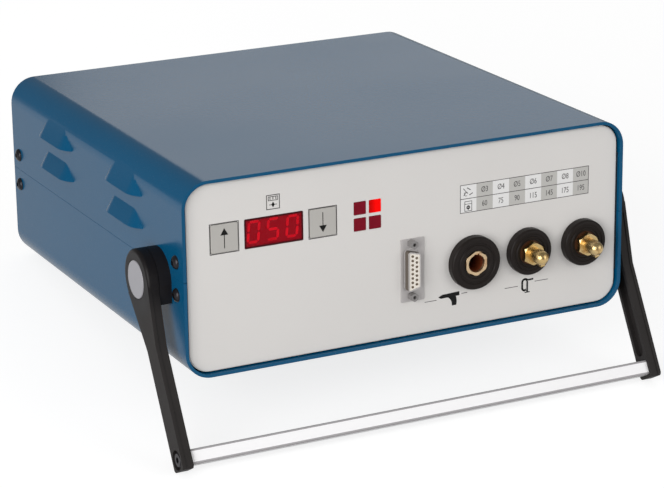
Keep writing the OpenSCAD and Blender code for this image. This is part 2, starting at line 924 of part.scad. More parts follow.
module handle_arm(side) {
    color(black) at_pivot(side) swung() difference() {
        union() {
            plate_x(arm_in, arm_t) arm_outline(step_in);
            plate_x(arm_out - step_t, step_t) arm_outline(0);
            translate([arm_in, 0, 0]) rotate([0, 90, 0]) rotate_extrude() {
                square([boss_r, arm_t - boss_edge]);
                square([boss_r - boss_edge, arm_t]);
                intersection() {
                    translate([boss_r - boss_edge, arm_t - boss_edge]) circle(boss_edge);
                    square(boss_r);
                }
            }
        }
        cyl_x(journal_r + run_fit, arm_in - eps, arm_out);
        cyl_x(button_r + play, web_out, arm_out + eps);
        for (i = [0 : leg_count - 1]) rotate([i * 360 / leg_count, 0, 0])
            translate([arm_in - eps, lug_in_r - play, -leg_w / 2 - play])
                cube([web_t + 1, leg_out_r - lug_in_r + 2 * play, leg_w + 2 * play]);
        plate_x(arm_in - eps, channel_d) {
            translate([-channel_w / 2, -channel_low]) square([channel_w, channel_low - channel_top]);
            for (z = [channel_top, channel_low]) translate([0, -z]) circle(channel_w / 2);
        }
        translate([0, 0, -arm_len]) {
            cyl_x(bar_screw_r + hole_fit, arm_in - eps, arm_out);
            cyl_x(pocket_r, arm_out - pocket_d, arm_out + eps);
        }
    }
}

module handle_arm_left() {
    handle_arm(-1);
}

module handle_arm_right() {
    handle_arm(1);
}

bar_edge = 1.2;
bar_half = case_w / 2 + arm_in;
bar_bore_len = 16;
bar_screw_len = 18;
bar_head_r = 5.4;

module handle_bar() {
    color([0.88, 0.88, 0.88]) translate([0, pivot_y, pivot_z]) swung() translate([0, 0, -arm_len])
        difference() {
            plate_x(-bar_half, 2 * bar_half) round_rect(bar_w, bar_h, bar_edge);
            both_sides() cyl_x(bar_screw_r + hole_fit, bar_half - bar_bore_len, bar_half + eps);
        }
}

module handle_bar_screws() {
    color(black) for (side = [-1, 1]) at_pivot(side) swung() translate([arm_out - pocket_d, 0, -arm_len])
        rotate([0, 90, 0]) screw(bar_screw_r, bar_screw_len, bar_head_r, 2.6, 2);
}

bolt_len = sheet_t + 6;

module pivot_bolts() {
    color(steel) for (side = [-1, 1]) at_pivot(side) difference() {
        union() {
            cyl_x(bolt_r, -bolt_len, journal_out + eps);
            cyl_x(bolt_head_r, journal_out, journal_out + bolt_head_t);
        }
        translate([journal_out + bolt_head_t - 0.9, 0, 0]) rotate([0, 90, 0]) cylinder(r = 2.6, h = 2, $fn = 6);
    }
}

plate_back_t = 5;
plate_half = 10;

module pivot_plates() {
    color(steel) for (side = [-1, 1]) at_pivot(side) difference() {
        plate_x(-sheet_t - plate_back_t, plate_back_t)
            translate([-plate_half, -2 * plate_half + 3]) square([2 * plate_half, 2 * plate_half]);
        cyl_x(bolt_r + hole_fit, -sheet_t - plate_back_t - eps, 0);
        for (s = [-1, 1])
            translate([0, s * peg_y, peg_z]) cyl_x(peg_r + hole_fit, -sheet_t - plate_back_t - eps, 0);
    }
}

dimple_r = 1.4;

module release_button(side) {
    color([0.70, 0.69, 0.70]) at_pivot(side) difference() {
        union() {
            cyl_x(button_r, button_in, button_out - 0.4);
            translate([button_out - 0.4, 0, 0]) rotate([0, 90, 0]) cylinder(r1 = button_r, r2 = button_r - 0.4, h = 0.4);
            swung() for (i = [0 : leg_count - 1]) rotate([i * 360 / leg_count, 0, 0]) {
                translate([leg_low, leg_in_r, -leg_w / 2])
                    cube([button_in - leg_low + eps, leg_out_r - leg_in_r, leg_w]);
                translate([lug_low, lug_in_r, -leg_w / 4]) cube([1.6, leg_in_r - lug_in_r + eps, leg_w / 2]);
            }
        }
        translate([button_out + 1.2, 0, 0]) sphere(r = dimple_r);
    }
}

module release_button_left() {
    release_button(-1);
}

module release_button_right() {
    release_button(1);
}

module button_spring(side) {
    color(steel) at_pivot(side) difference() {
        cyl_x(6.6, journal_out + bolt_head_t, button_in);
        cyl_x(4.4, journal_out, button_in + eps);
    }
}

module button_spring_left() {
    button_spring(-1);
}

module button_spring_right() {
    button_spring(1);
}

// Fan

fan_flange = 4;
fan_wall = 1.5;
hub_r = 16;
hub_len = 15;
strut_w = 4;
strut_t = 3;
shaft_r = 1.5;
shaft_len = 6;

module at_fan() {
    translate([right - fan_x, 0, fan_z]) children();
}

module fan_frame() {
    front = rear_in - fan_d;
    color(black) at_fan() difference() {
        union() {
            for (y = [front, rear_in - fan_flange]) plate_y(y, fan_flange) difference() {
                round_rect(fan_size, fan_size, 4);
                circle(fan_open_r);
            }
            plate_y(front, fan_d) difference() {
                circle(fan_open_r + fan_wall);
                circle(fan_open_r);
            }
            plate_y(front, strut_t) intersection() {
                circle(fan_open_r + eps);
                for (a = [45, 135]) rotate(a) square([fan_size, strut_w], center = true);
            }
            cyl_y(hub_r, front, front + strut_t);
            cyl_y(shaft_r + 2, front + strut_t - eps, front + strut_t + 2);
        }
        cyl_y(shaft_r + run_fit, front + 1, front + fan_d);
        for (x = [-1, 1], z = [-1, 1])
            translate([x * fan_pitch, 0, z * fan_pitch]) cyl_y(screw_r + hole_fit, front - eps, rear_in + eps);
    }
}

blade_pitch = 38;
blade_t = 1.6;
blade_w = 17;
tip_gap = 1.5;

module fan_rotor() {
    front = rear_in - fan_d + strut_t + 2.4;
    color(black) at_fan() {
        difference() {
            cyl_y(hub_r, front, front + hub_len);
            cyl_y(hub_r - 2, front - eps, front + hub_len - 3);
        }
        cyl_y(shaft_r, front - 2.4 - strut_t + 1.5, front + hub_len - 2);
        intersection() {
            difference() {
                cyl_y(fan_open_r - tip_gap, front + 1, front + hub_len - 1);
                cyl_y(hub_r - 0.5, front, front + hub_len);
            }
            for (i = [0 : fan_blades - 1]) rotate([0, i * 360 / fan_blades, 0])
                translate([0, front + hub_len / 2, 0]) rotate([90 - blade_pitch, 0, 0])
                    translate([0, -blade_w, -blade_t / 2]) cube([fan_size / 2, 2 * blade_w, blade_t]);
        }
    }
}

guard_t = 1.5;
guard_bar = 2;
guard_pitch = 7.5;
guard_disc_r = 9;
guard_eye_r = 4.4;

module fan_guard() {
    color(black) at_fan() plate_y(rear_out, guard_t) {
        circle(guard_disc_r);
        for (r = [8 + guard_pitch : guard_pitch : fan_open_r]) difference() {
            circle(r + guard_bar / 2);
            circle(r - guard_bar / 2);
        }
        difference() {
            for (a = [45, 135]) rotate(a) square([2 * fan_pitch * sqrt(2), 3], center = true);
            for (x = [-1, 1], z = [-1, 1]) translate([x, z] * fan_pitch) circle(screw_r + hole_fit);
        }
        for (x = [-1, 1], z = [-1, 1]) translate([x, z] * fan_pitch) difference() {
            circle(guard_eye_r);
            circle(screw_r + hole_fit);
        }
    }
}

module fan_screws() {
    color(steel) at_fan_screws() translate([0, rear_out + guard_t, 0]) rotate([-90, 0, 0])
        screw(screw_r, guard_t + panel_t + fan_d, 3.8, 2.2);
}

// Mains inlet, switch and fuse

rim_t = 2.4;
inlet_d = 24;
cavity_w = 24;
cavity_h = 16.4;
cavity_d = 17;

module inlet_outline(w, h, cut) {
    polygon([[-w / 2, -h / 2], [w / 2, -h / 2], [w / 2, h / 2 - cut],
             [w / 2 - cut, h / 2], [-w / 2 + cut, h / 2], [-w / 2, h / 2 - cut]]);
}

blade_x = 7;
blade_len = 14;

module at_inlet_pins() {
    for (x = [-1, 0, 1]) translate([x * blade_x, 0, x == 0 ? 2 : -1.5]) children();
}

module mains_inlet() {
    color(black) translate([left + inlet_x, 0, mains_z]) difference() {
        union() {
            plate_y(rear_out, rim_t) round_rect(inlet_w + 6, inlet_h + 6, 3);
            plate_y(rear_out - inlet_d, inlet_d + eps) round_rect(inlet_w, inlet_h, 2);
        }
        plate_y(rear_out + rim_t - cavity_d, cavity_d + eps) inlet_outline(cavity_w, cavity_h, 4);
        at_inlet_pins() plate_y(rear_out - inlet_d - eps, inlet_d) square([2 + 2 * fit, 4 + 2 * fit], center = true);
    }
}

module mains_inlet_pins() {
    base_y = rear_out + rim_t - cavity_d;
    color(steel) translate([left + inlet_x, 0, mains_z]) at_inlet_pins()
        plate_y(rear_out - inlet_d - 7, base_y + blade_len - rear_out + inlet_d + 7) square([2, 4], center = true);
}

rocker_r = 10.6;
rocker_w = 14;
rocker_tilt = 10;
rocker_axis_in = 1;
rocker_pin_r = 1.2;
pocket_w = 15;
pocket_h = 22;
pocket_in = 12.5;

module at_switch() {
    translate([left + switch_x, rear_out, mains_z]) children();
}

module mains_switch_body() {
    color(black) at_switch() difference() {
        union() {
            plate_y(0, rim_t) round_rect(switch_w + 4, switch_h + 4, 1);
            plate_y(-pocket_in - 6, pocket_in + 6 + eps) round_rect(switch_w, switch_h, 0.5);
        }
        plate_y(-pocket_in, pocket_in + rim_t + eps) square([pocket_w, pocket_h], center = true);
        translate([0, -rocker_axis_in, 0]) cyl_x(rocker_pin_r + run_fit, -switch_w / 2 + 1, switch_w / 2 - 1);
    }
}

// Rocker seen along its pin, outwards along +X
rocker_face = 4.2;
module rocker_outline() {
    difference() {
        circle(rocker_r);
        for (s = [-1, 1]) translate([rocker_face, 0]) rotate(-s * rocker_tilt)
            translate([0, s > 0 ? 0 : -2 * rocker_r]) square([2 * rocker_r, 2 * rocker_r]);
        translate([-2 * rocker_r - 3, -rocker_r]) square([2 * rocker_r, 2 * rocker_r]);
    }
}

module mains_switch_rocker() {
    color([0.1, 0.1, 0.1]) at_switch() translate([0, -rocker_axis_in, 0]) rotate([rocker_tilt, 0, 0]) {
        plate_x(-rocker_w / 2, rocker_w) rocker_outline();
        cyl_x(rocker_pin_r, -rocker_w / 2 - 1.8, rocker_w / 2 + 1.8);
    }
}

fuse_len = 30;
fuse_flange_r = 8.5;
fuse_bore_r = 4.6;
cap_grip_r = 6.6;
cap_grip_out = 7;
carrier_len = 24;

module at_fuse() {
    translate([left + fuse_x, rear_out, mains_z]) children();
}

module fuse_holder() {
    color(black) at_fuse() difference() {
        union() {
            cyl_y(fuse_flange_r, 0, 1.6);
            cyl_y(fuse_r, -fuse_len, eps);
        }
        cyl_y(fuse_bore_r, -carrier_len - 1, 2);
    }
}

grip_count = 12;

module fuse_cap() {
    color([0.16, 0.16, 0.16]) at_fuse() {
        difference() {
            cyl_y(cap_grip_r, 1.8, 1.8 + cap_grip_out);
            for (i = [0 : grip_count - 1]) rotate([0, i * 360 / grip_count, 0])
                translate([cap_grip_r + 0.3, 0, 0]) cyl_y(0.9, 3, 2 + cap_grip_out);
            translate([-4, cap_grip_out + 1, -0.6]) cube([8, 2, 1.2]);
        }
        cyl_y(fuse_bore_r - play, -carrier_len, 1.8 + eps);
    }
}

// Chassis and power parts

chassis_in = 22;
board_x = 20;
control_w = 74;
control_d = 46;
control_y = 46;
spacer_h = 8;

module at_control_posts() {
    for (x = [5, control_w - 5], y = [5, control_d - 5])
        translate([left + board_x + x, control_y + y, floor_z]) children();
}

module chassis_plate() {
    color(zinc) {
        difference() {
            translate([left + chassis_in, 18, sheet_t]) cube([case_w - 2 * chassis_in, case_d - 36, chassis_t]);
            at_feet() cylinder(r = screw_r + hole_fit, h = floor_z + 1);
        }
        at_control_posts() cylinder(r = post_r, h = spacer_h);
    }
}

core_x = 66;
core_y = 205;
limb = core_w / 6;
coil_fit = 0.4;

module transformer_core() {
    color(steel) translate([left + core_x, 0, floor_z + core_h / 2]) plate_y(core_y - core_d / 2, core_d) difference() {
        square([core_w, core_h], center = true);
        for (s = [-1, 1]) translate([s * limb * 1.5, 0]) square([limb, core_h - 2 * limb], center = true);
    }
}

coil_build = 12;

module transformer_winding() {
    inner_w = 2 * limb + 2 * coil_fit;
    inner_d = core_d + 2 * coil_fit;
    color([0.55, 0.30, 0.15]) translate([left + core_x, core_y, floor_z + core_h / 2])
        linear_extrude(core_h - 2 * limb - 2 * coil_fit, center = true) difference() {
            round_rect(inner_w + 2 * coil_build, inner_d + 2 * coil_build, 4);
            square([inner_w, inner_d], center = true);
        }
}

cap_cols = 3;
cap_rows = 2;
terminal_off = 12.5;
terminal_h = 5;
bead = 1.2;
bead_z = 6;

module at_caps() {
    for (i = [0 : cap_cols - 1], j = [0 : cap_rows - 1])
        translate([right - cap_x - i * cap_pitch, cap_y + j * cap_pitch, 0]) children();
}

module capacitors() {
    color([0.10, 0.12, 0.16]) at_caps() translate([0, 0, floor_z]) {
        rotate_extrude() difference() {
            square([cap_r, cap_h]);
            translate([cap_r + 0.2, cap_h - bead_z]) circle(bead);
            translate([-eps, cap_h - 2]) square([cap_r - 2, 3]);
        }
        for (s = [-1, 1]) translate([0, s * terminal_off, cap_h - 2 - eps]) {
            cylinder(r = 6, h = terminal_h + 2);
            cylinder(r = 2.4, h = terminal_h + 7);
        }
    }
}

clamp_z = 56;
clamp_t = 3;
clamp_margin = 4;

module capacitor_clamp() {
    x1 = right - cap_x + cap_r + clamp_margin;
    x0 = right - cap_x - (cap_cols - 1) * cap_pitch - cap_r - clamp_margin;
    y0 = cap_y - cap_r - clamp_margin;
    y1 = cap_y + (cap_rows - 1) * cap_pitch + cap_r + clamp_margin;
    color([0.75, 0.70, 0.55]) {
        difference() {
            translate([x0, y0, clamp_z]) cube([x1 - x0, y1 - y0, clamp_t]);
            at_caps() translate([0, 0, clamp_z - eps]) cylinder(r = cap_r + fit, h = clamp_t + 1);
        }
        for (x = [x0 + 3.5, x1 - 3.5], y = [y0 + 3.5, y1 - 3.5])
            translate([x, y, floor_z]) cylinder(r = 3.5, h = clamp_z - floor_z + eps);
    }
}

busbar_t = 2;
busbar_w = 13;

module busbars() {
    x1 = right - cap_x + 9;
    x0 = right - cap_x - (cap_cols - 1) * cap_pitch - 9;
    row_2 = cap_y + (cap_rows - 1) * cap_pitch;
    color(copper) translate([0, 0, floor_z + cap_h + terminal_h]) linear_extrude(busbar_t) difference() {
        union() {
            translate([x0, cap_y + terminal_off - busbar_w / 2])
                square([x1 - x0, row_2 - cap_y - 2 * terminal_off + busbar_w]);
            for (y = [cap_y - terminal_off, row_2 + terminal_off])
                translate([x0 - 22, y - busbar_w / 2]) square([x1 - x0 + 22, busbar_w]);
            translate([x0 - 22, cap_y - terminal_off]) square([busbar_w, row_2 - cap_y + 2 * terminal_off]);
        }
        for (i = [0 : cap_cols - 1], y = [cap_y, row_2], s = [-1, 1])
            translate([right - cap_x - i * cap_pitch, y + s * terminal_off]) circle(2.5);
    }
}

sink_w = 76;
sink_d = 44;
sink_h = 44;
sink_base = 6;
fin_count = 9;
fin_t = 2;
sink_gap = 4;

module heat_sink() {
    color(steel) translate([right - fan_x, 0, floor_z]) plate_y(rear_in - fan_d - sink_gap - sink_d, sink_d) {
        translate([-sink_w / 2, sink_h - sink_base]) square([sink_w, sink_base]);
        for (i = [0 : fin_count - 1])
            translate([-sink_w / 2 + i * (sink_w - fin_t) / (fin_count - 1), 0]) square([fin_t, sink_h - sink_base + eps]);
    }
}

module_h = 18;
module_pitch = 20;
post_h = 6;

module thyristor_module() {
    color(black) translate([right - fan_x, rear_in - fan_d - sink_gap - sink_d / 2, floor_z + sink_h]) {
        translate([-34, -14, 0]) cube([68, 28, module_h]);
        for (x = [-module_pitch, 0, module_pitch]) translate([x, 0, 0]) cylinder(r = 5, h = module_h + post_h);
    }
}

power_t = 2;
power_w = 12;
link_rise = 7;

// Copper bars from the capacitors to the earth plugs, to the module and on to the gun socket
module power_bars() {
    bars_y = face_y + contact_tail;
    deck_z = floor_z + cap_h + terminal_h + busbar_t;
    link_z = deck_z + link_rise;
    module_y = rear_in - fan_d - sink_gap - sink_d / 2;
    post_top = floor_z + sink_h + module_h + post_h;
    w = power_w / 2;
    color(copper) {
        difference() {
            union() {
                translate([right - plug_1_x - w, bars_y, connector_z - w])
                    cube([plug_1_x - plug_2_x + power_w, power_t, power_w]);
                translate([right - plug_1_x - w, bars_y, connector_z]) cube([power_w, power_t, deck_z + power_t - connector_z]);
                translate([right - plug_1_x - w, bars_y, deck_z])
                    cube([power_w, cap_y - terminal_off + busbar_w / 2 - bars_y, power_t]);
            }
            for (x = [plug_1_x, plug_2_x]) translate([right - x, 0, connector_z])
                cyl_y(stud_r + hole_fit, bars_y - eps, bars_y + power_t + eps);
            at_caps() translate([0, -terminal_off, deck_z - eps]) cylinder(r = 2.5, h = power_t + 1);
        }
        difference() {
            union() {
                translate([right - gun_x - w, bars_y, gun_z - w]) cube([power_w, power_t, link_z + power_t - gun_z + w]);
                translate([right - gun_x - w, bars_y, link_z])
                    cube([gun_x - fan_x - module_pitch + power_w, power_w, power_t]);
                link(right - fan_x - module_pitch, bars_y, module_y, link_z, post_top);
            }
            translate([right - gun_x, 0, gun_z]) cyl_y(stud_r + hole_fit, bars_y - eps, bars_y + power_t + eps);
        }
        translate([right - fan_x - w, cap_y + cap_pitch / 2 - w, deck_z]) cube([power_w, power_w, power_t]);
        translate([right - fan_x - w, cap_y + cap_pitch / 2 + w - power_t, deck_z]) cube([power_w, power_t, link_rise + eps]);
        link(right - fan_x, cap_y + cap_pitch / 2 + w - power_t, module_y, link_z, post_top);
    }
}

// Bar at height z from y0 to the module, with a leg down to its terminal
module link(x, y0, y1, z, low) {
    w = power_w / 2;
    translate([x - w, y0, z]) cube([power_w, y1 + w - y0, power_t]);
    translate([x - w, y1 + w - power_t, low]) cube([power_w, power_t, z - low + eps]);
    translate([x - w, y1 - w, low]) cube([power_w, power_w, power_t]);
}

module control_board() {
    color(board_green) translate([left + board_x, control_y, floor_z + spacer_h]) cube([control_w, control_d, board_t]);
}

module control_board_parts() {
    z = floor_z + spacer_h + board_t;
    color(black) translate([left + board_x, control_y, z]) {
        translate([14, 10, 0]) cube([20, 26, 15]);
        translate([40, 10, 0]) cube([20, 8, 3]);
        translate([40, 26, 0]) cube([14, 12, 4]);
        for (y = [14, 31]) translate([67, y, 0]) cylinder(r = 4, h = 14);
    }
}

// Stance: the case leans back until toes and rear feet touch the table

arm_dir = [-cos(arm_angle), -sin(arm_angle)];
arm_side = [sin(arm_angle), -cos(arm_angle)];
toe_mid = [pivot_y, pivot_z] + (arm_reach - toe_r) * arm_dir;
toe_back = toe_mid + (arm_w / 2 - toe_r) * arm_side;
toe_front = toe_mid - (arm_w / 2 - toe_r) * arm_side;
heel = [case_d - foot_rear_y + foot_r - foot_edge, foot_edge - foot_h];
base_line = heel - toe_back;
tilt = atan2(base_line[1], base_line[0]) + asin((toe_r - foot_edge) / norm(base_line));
lift = toe_r + toe_back[0] * sin(tilt) - toe_back[1] * cos(tilt);
front_most = toe_front[0] * cos(tilt) + toe_front[1] * sin(tilt) - toe_r;
rear_most = case_d * cos(tilt) + case_h * sin(tilt);

module stance() {
    translate([0, -(front_most + rear_most) / 2, lift]) rotate([-tilt, 0, 0]) children();
}

stance() lower_shell();
stance() upper_shell();
stance() front_panel();
stance() front_overlay();
stance() rear_panel();
stance() side_screws();
stance() foot_pads();
stance() foot_screws();
stance() key_up();
stance() key_down();
stance() display_window();
stance() display_module();
stance() display_segments();
stance() lamp_lit();
stance() lamps_unlit();
stance() display_board();
stance() key_switches();
stance() signal_socket_shell();
stance() signal_socket_insert();
stance() signal_socket_screws();
stance() gun_socket_body();
stance() gun_socket_contact();
stance() earth_plug_body_1();
stance() earth_plug_body_2();
stance() earth_plug_pin_1();
stance() earth_plug_pin_2();
stance() connector_nuts();
stance() handle_base_left();
stance() handle_base_right();
stance() handle_arm_left();
stance() handle_arm_right();
stance() handle_bar();
stance() handle_bar_screws();
stance() pivot_bolts();
stance() pivot_plates();
stance() release_button_left();
stance() release_button_right();
stance() button_spring_left();
stance() button_spring_right();
stance() fan_frame();
stance() fan_rotor();
stance() fan_guard();
stance() fan_screws();
stance() mains_inlet();
stance() mains_inlet_pins();
stance() mains_switch_body();
stance() mains_switch_rocker();
stance() fuse_holder();
stance() fuse_cap();
stance() chassis_plate();
stance() transformer_core();
stance() transformer_winding();
stance() capacitors();
stance() capacitor_clamp();
stance() busbars();
stance() power_bars();
stance() heat_sink();
stance() thyristor_module();
stance() control_board();
stance() control_board_parts();
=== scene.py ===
import json
import math
import bmesh
import bpy
from mathutils import Matrix, Vector


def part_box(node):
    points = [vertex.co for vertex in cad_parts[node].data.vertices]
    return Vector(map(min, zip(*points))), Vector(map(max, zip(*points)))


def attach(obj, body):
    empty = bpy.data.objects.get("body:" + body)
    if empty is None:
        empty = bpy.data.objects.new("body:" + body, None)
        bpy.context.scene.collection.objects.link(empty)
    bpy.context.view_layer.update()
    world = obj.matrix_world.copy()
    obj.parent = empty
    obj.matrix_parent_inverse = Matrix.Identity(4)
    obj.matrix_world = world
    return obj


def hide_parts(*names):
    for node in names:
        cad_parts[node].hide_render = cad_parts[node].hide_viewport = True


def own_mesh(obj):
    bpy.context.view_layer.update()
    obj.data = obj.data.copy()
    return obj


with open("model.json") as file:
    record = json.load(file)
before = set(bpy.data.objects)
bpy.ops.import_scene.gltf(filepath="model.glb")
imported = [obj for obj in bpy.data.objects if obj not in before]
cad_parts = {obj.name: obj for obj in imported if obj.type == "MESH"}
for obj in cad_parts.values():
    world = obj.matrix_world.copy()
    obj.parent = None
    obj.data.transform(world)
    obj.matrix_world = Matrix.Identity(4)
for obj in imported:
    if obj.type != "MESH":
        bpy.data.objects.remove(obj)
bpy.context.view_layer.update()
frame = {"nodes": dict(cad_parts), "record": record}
nodes = frame["nodes"]
bodyOf = {node: body for body, members in frame["record"]["behaviour"]["bodies"].items() for node in members}
print("frame loaded,", len(nodes), "nodes")

# The case leans back on its handle: everything is drawn upright, in millimetres, and then leaned.
stance = {"lean": 8.828824, "slide": -132.98257, "lift": 45.84633}
upright = Matrix.Rotation(math.radians(-stance["lean"]), 4, "X")
standing = Matrix.Translation((0, stance["slide"] / 1000, stance["lift"] / 1000))
leaned = standing @ upright @ Matrix.Scale(0.001, 4)


def linked(name, mesh):
    thing = bpy.data.objects.new(name, mesh)
    bpy.context.scene.collection.objects.link(thing)
    return thing


# The mesh with its modifiers in it
def evaluated(thing):
    bpy.context.view_layer.update()
    return bpy.data.meshes.new_from_object(thing.evaluated_get(bpy.context.evaluated_depsgraph_get()))


# Edges over sharp degrees stay crisp. Pieces with rounded edges have their shading already.
def piece(name, mesh, body, material, replaced=(), sharp=35):
    thing = linked(name, mesh)
    mesh.name = name
    mesh.materials.clear()
    mesh.materials.append(material)
    if sharp:
        mesh.shade_smooth()
        mesh.set_sharp_from_angle(angle=math.radians(sharp))
    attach(thing, body)
    if replaced:
        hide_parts(*replaced)
    return thing


# A socket of a shader's tree that can be added, multiplied and compared
class Wire:
    def __init__(self, sheet, socket):
        self.sheet, self.socket = sheet, socket

    def sum(self, operation, first, second):
        return self.sheet.node("ShaderNodeMath", {"operation": operation}, {0: first, 1: second})

    def __add__(self, other): return self.sum("ADD", self, other)
    def __sub__(self, other): return self.sum("SUBTRACT", self, other)
    def __rsub__(self, other): return self.sum("SUBTRACT", other, self)
    def __mul__(self, other): return self.sum("MULTIPLY", self, other)
    def __pow__(self, other): return self.sum("POWER", self, other)
    def __gt__(self, other): return self.sum("GREATER_THAN", self, other)
    def __lt__(self, other): return self.sum("LESS_THAN", self, other)
    def __abs__(self): return self.sheet.node("ShaderNodeMath", {"operation": "ABSOLUTE"}, {0: self})
    def larger(self, other): return self.sum("MAXIMUM", self, other)


# A material's tree, with one method for every kind of node
class Sheet:
    def __init__(self, name):
        self.material = bpy.data.materials.new(name)
        self.material.use_nodes = True
        self.tree = self.material.node_tree
        self.tree.nodes.clear()
        self.place = self.node("ShaderNodeTexCoord", out="Object")

    def node(self, kind, settings=None, values=None, out=0):
        made = self.tree.nodes.new(kind)
        for key, value in (settings or {}).items():
            setattr(made, key, value)
        for key, value in (values or {}).items():
            if isinstance(value, Wire):
                self.tree.links.new(value.socket, made.inputs[key])
            else:
                made.inputs[key].default_value = value
        return Wire(self, made.outputs[out])

    # Place on the case before it leans, in millimetres
    def onCase(self):
        turn = math.radians(stance["lean"])
        back = upright.inverted() @ Vector((0, -stance["slide"], -stance["lift"]))
        return self.mapped(self.place, Location=back, Rotation=(turn, 0, 0), Scale=(1000, 1000, 1000))

    def mapped(self, where, **values):
        return self.node("ShaderNodeMapping", {"vector_type": "POINT"}, {"Vector": where, **values})

    # A place as three wires: across, along and up
    def split(self, where):
        apart = self.tree.nodes.new("ShaderNodeSeparateXYZ")
        self.tree.links.new(where.socket, apart.inputs[0])
        return [Wire(self, apart.outputs[axis]) for axis in "XYZ"]

    def noise(self, scale, detail=3.0, where=None, stretch=None):
        where = where or self.place
        if stretch:
            where = self.mapped(where, Scale=stretch)
        return self.node("ShaderNodeTexNoise", {}, {"Vector": where, "Scale": scale, "Detail": detail})

    # Streaks that run along the axis with the smallest stretch
    def streaks(self, stretch):
        return self.noise(1.0, 5.0, where=self.onCase(), stretch=stretch)

    # From 0 at start to 1 at end
    def ramp(self, value, start, end):
        return self.node("ShaderNodeMapRange", {}, {"Value": value, "From Min": start, "From Max": end})

    def mix(self, factor, first, second):
        return self.node("ShaderNodeMix", {"data_type": "RGBA"}, {0: factor, 6: first, 7: second}, out=2)

    # A colour that varies by spread to both sides
    def cloudy(self, factor, colour, spread):
        return self.mix(factor, shade(colour, 1 - spread), shade(colour, 1 + spread))

    def bump(self, height, strength, distance):
        return self.node("ShaderNodeBump", {}, {"Height": height, "Strength": strength, "Distance": distance})

    def end(self, **values):
        words = {"base": "Base Color", "rough": "Roughness", "metal": "Metallic", "normal": "Normal",
                 "alpha": "Alpha", "glow": "Emission Color", "glowStrength": "Emission Strength",
                 "specular": "Specular IOR Level"}
        values = {words[key]: value for key, value in values.items()}
        self.finish(self.node("ShaderNodeBsdfPrincipled", {}, values))
        return self.material

    def finish(self, shader):
        output = self.tree.nodes.new("ShaderNodeOutputMaterial")
        self.tree.links.new(shader.socket, output.inputs["Surface"])


# A colour as read from a picture, 0 to 255
def srgb(red, green, blue):
    straight = []
    for v in (red / 255, green / 255, blue / 255):
        straight.append(v / 12.92 if v < 0.0393 else ((v + 0.055) / 1.055) ** 2.4)
    return tuple(straight + [1.0])


def shade(colour, factor):
    return tuple([min(1.0, v * factor) for v in colour[:3]] + [1.0])


def length(first, second):
    return (first * first + second * second) ** 0.5


# One recipe serves moulded, cast and plated parts: cloudy colour, uneven gloss and a fine grain.
def moulded(name, colour, rough, metal=0.0, grain=2200.0, depth=0.12, cloud=45.0, spread=0.12, specular=0.5):
    sheet = Sheet(name)
    clouds = sheet.noise(cloud, 4.0)
    tint = sheet.cloudy(clouds, colour, spread)
    normal = sheet.bump(sheet.noise(grain, 2.0), depth, 0.0002)
    rough = clouds * 0.12 + (rough - 0.06)
    return sheet.end(base=tint, rough=rough, metal=metal, normal=normal, specular=specular)


# Metal that was turned, drawn or ground: streaks along one direction.
def drawn(name, colour, rough, stretch, metal=1.0, depth=0.15, spread=0.08):
    sheet = Sheet(name)
    streaks = sheet.streaks(stretch)
    tint = sheet.cloudy(streaks, colour, spread)
    normal = sheet.bump(streaks, depth, 0.0001)
    rough = sheet.noise(60.0, 4.0) * 0.14 + streaks * 0.1 + (rough - 0.12)
    return sheet.end(base=tint, rough=rough, metal=metal, normal=normal)


paint = {"colour": srgb(2, 80, 118), "dust": srgb(120, 150, 170), "low": 0.93, "high": 1.08, "rough": 0.21,
         "peel": 520.0, "peelDepth": 0.10, "specular": 0.25}


def casePaint():
    sheet = Sheet("casePaint")
    soft = sheet.noise(9.0, 3.0)
    tint = sheet.mix(soft, shade(paint["colour"], paint["low"]), shade(paint["colour"], paint["high"]))
    rough = soft * 0.10 + (paint["rough"] - 0.05)
    tint = sheet.mix((sheet.noise(1400.0, 2.0) > 0.66) * 0.10, tint, paint["dust"])
    normal = sheet.bump(sheet.noise(paint["peel"], 2.0), paint["peelDepth"], 0.0003)
    return sheet.end(base=tint, rough=rough, normal=normal, specular=paint["specular"])


foil = {"colour": srgb(222, 219, 216), "low": 0.965, "high": 1.02, "speck": 0.90, "rough": 0.42}


def frontFoil():
    sheet = Sheet("frontFoil")
    grain, cloud = sheet.noise(1800.0, 2.0), sheet.noise(14.0, 3.0)
    tint = sheet.mix(cloud, shade(foil["colour"], foil["low"]), shade(foil["colour"], foil["high"]))
    tint = sheet.mix((grain > 0.64) * 0.25, tint, shade(foil["colour"], foil["speck"]))
    normal = sheet.bump(grain, 0.06, 0.0001)
    return sheet.end(base=tint, rough=cloud * 0.08 + (foil["rough"] - 0.04), normal=normal)


panel = {"width": 291.0, "keysZ": 83.3, "socketZ": 44.5, "gunZ": 43.3, "faceY": 2.7,
         "colour": srgb(214, 211, 208), "gapShade": srgb(30, 40, 48), "past": 0.05}


# The panel's sides past the foil get a painted shade, as dark as the gap they stand in
def panelEnamel():
    sheet = Sheet("panelPaint")
    clouds = sheet.noise(45.0, 4.0)
    across = sheet.split(sheet.onCase())[0]
    # Past the foil's width the panel is painted dark: painted shade for the gap
    gapShade = abs(across) > panel["width"] / 2 + panel["past"]
    tint = sheet.mix(gapShade, sheet.cloudy(clouds, panel["colour"], 0.03), panel["gapShade"])
    normal = sheet.bump(sheet.noise(1500.0, 2.0), 0.08, 0.0002)
    return sheet.end(base=tint, rough=clouds * 0.12 + 0.39, normal=normal)


# Two dark browns are painted shade: on the pins past the seat, and inside the gun's bore
brass = {"pitch": 2.6, "depth": 0.25, "tarnish": srgb(180, 138, 86), "deep": srgb(70, 40, 22),
         "gunTarnish": srgb(196, 150, 108), "boreShade": srgb(112, 50, 22), "open": 90.0}
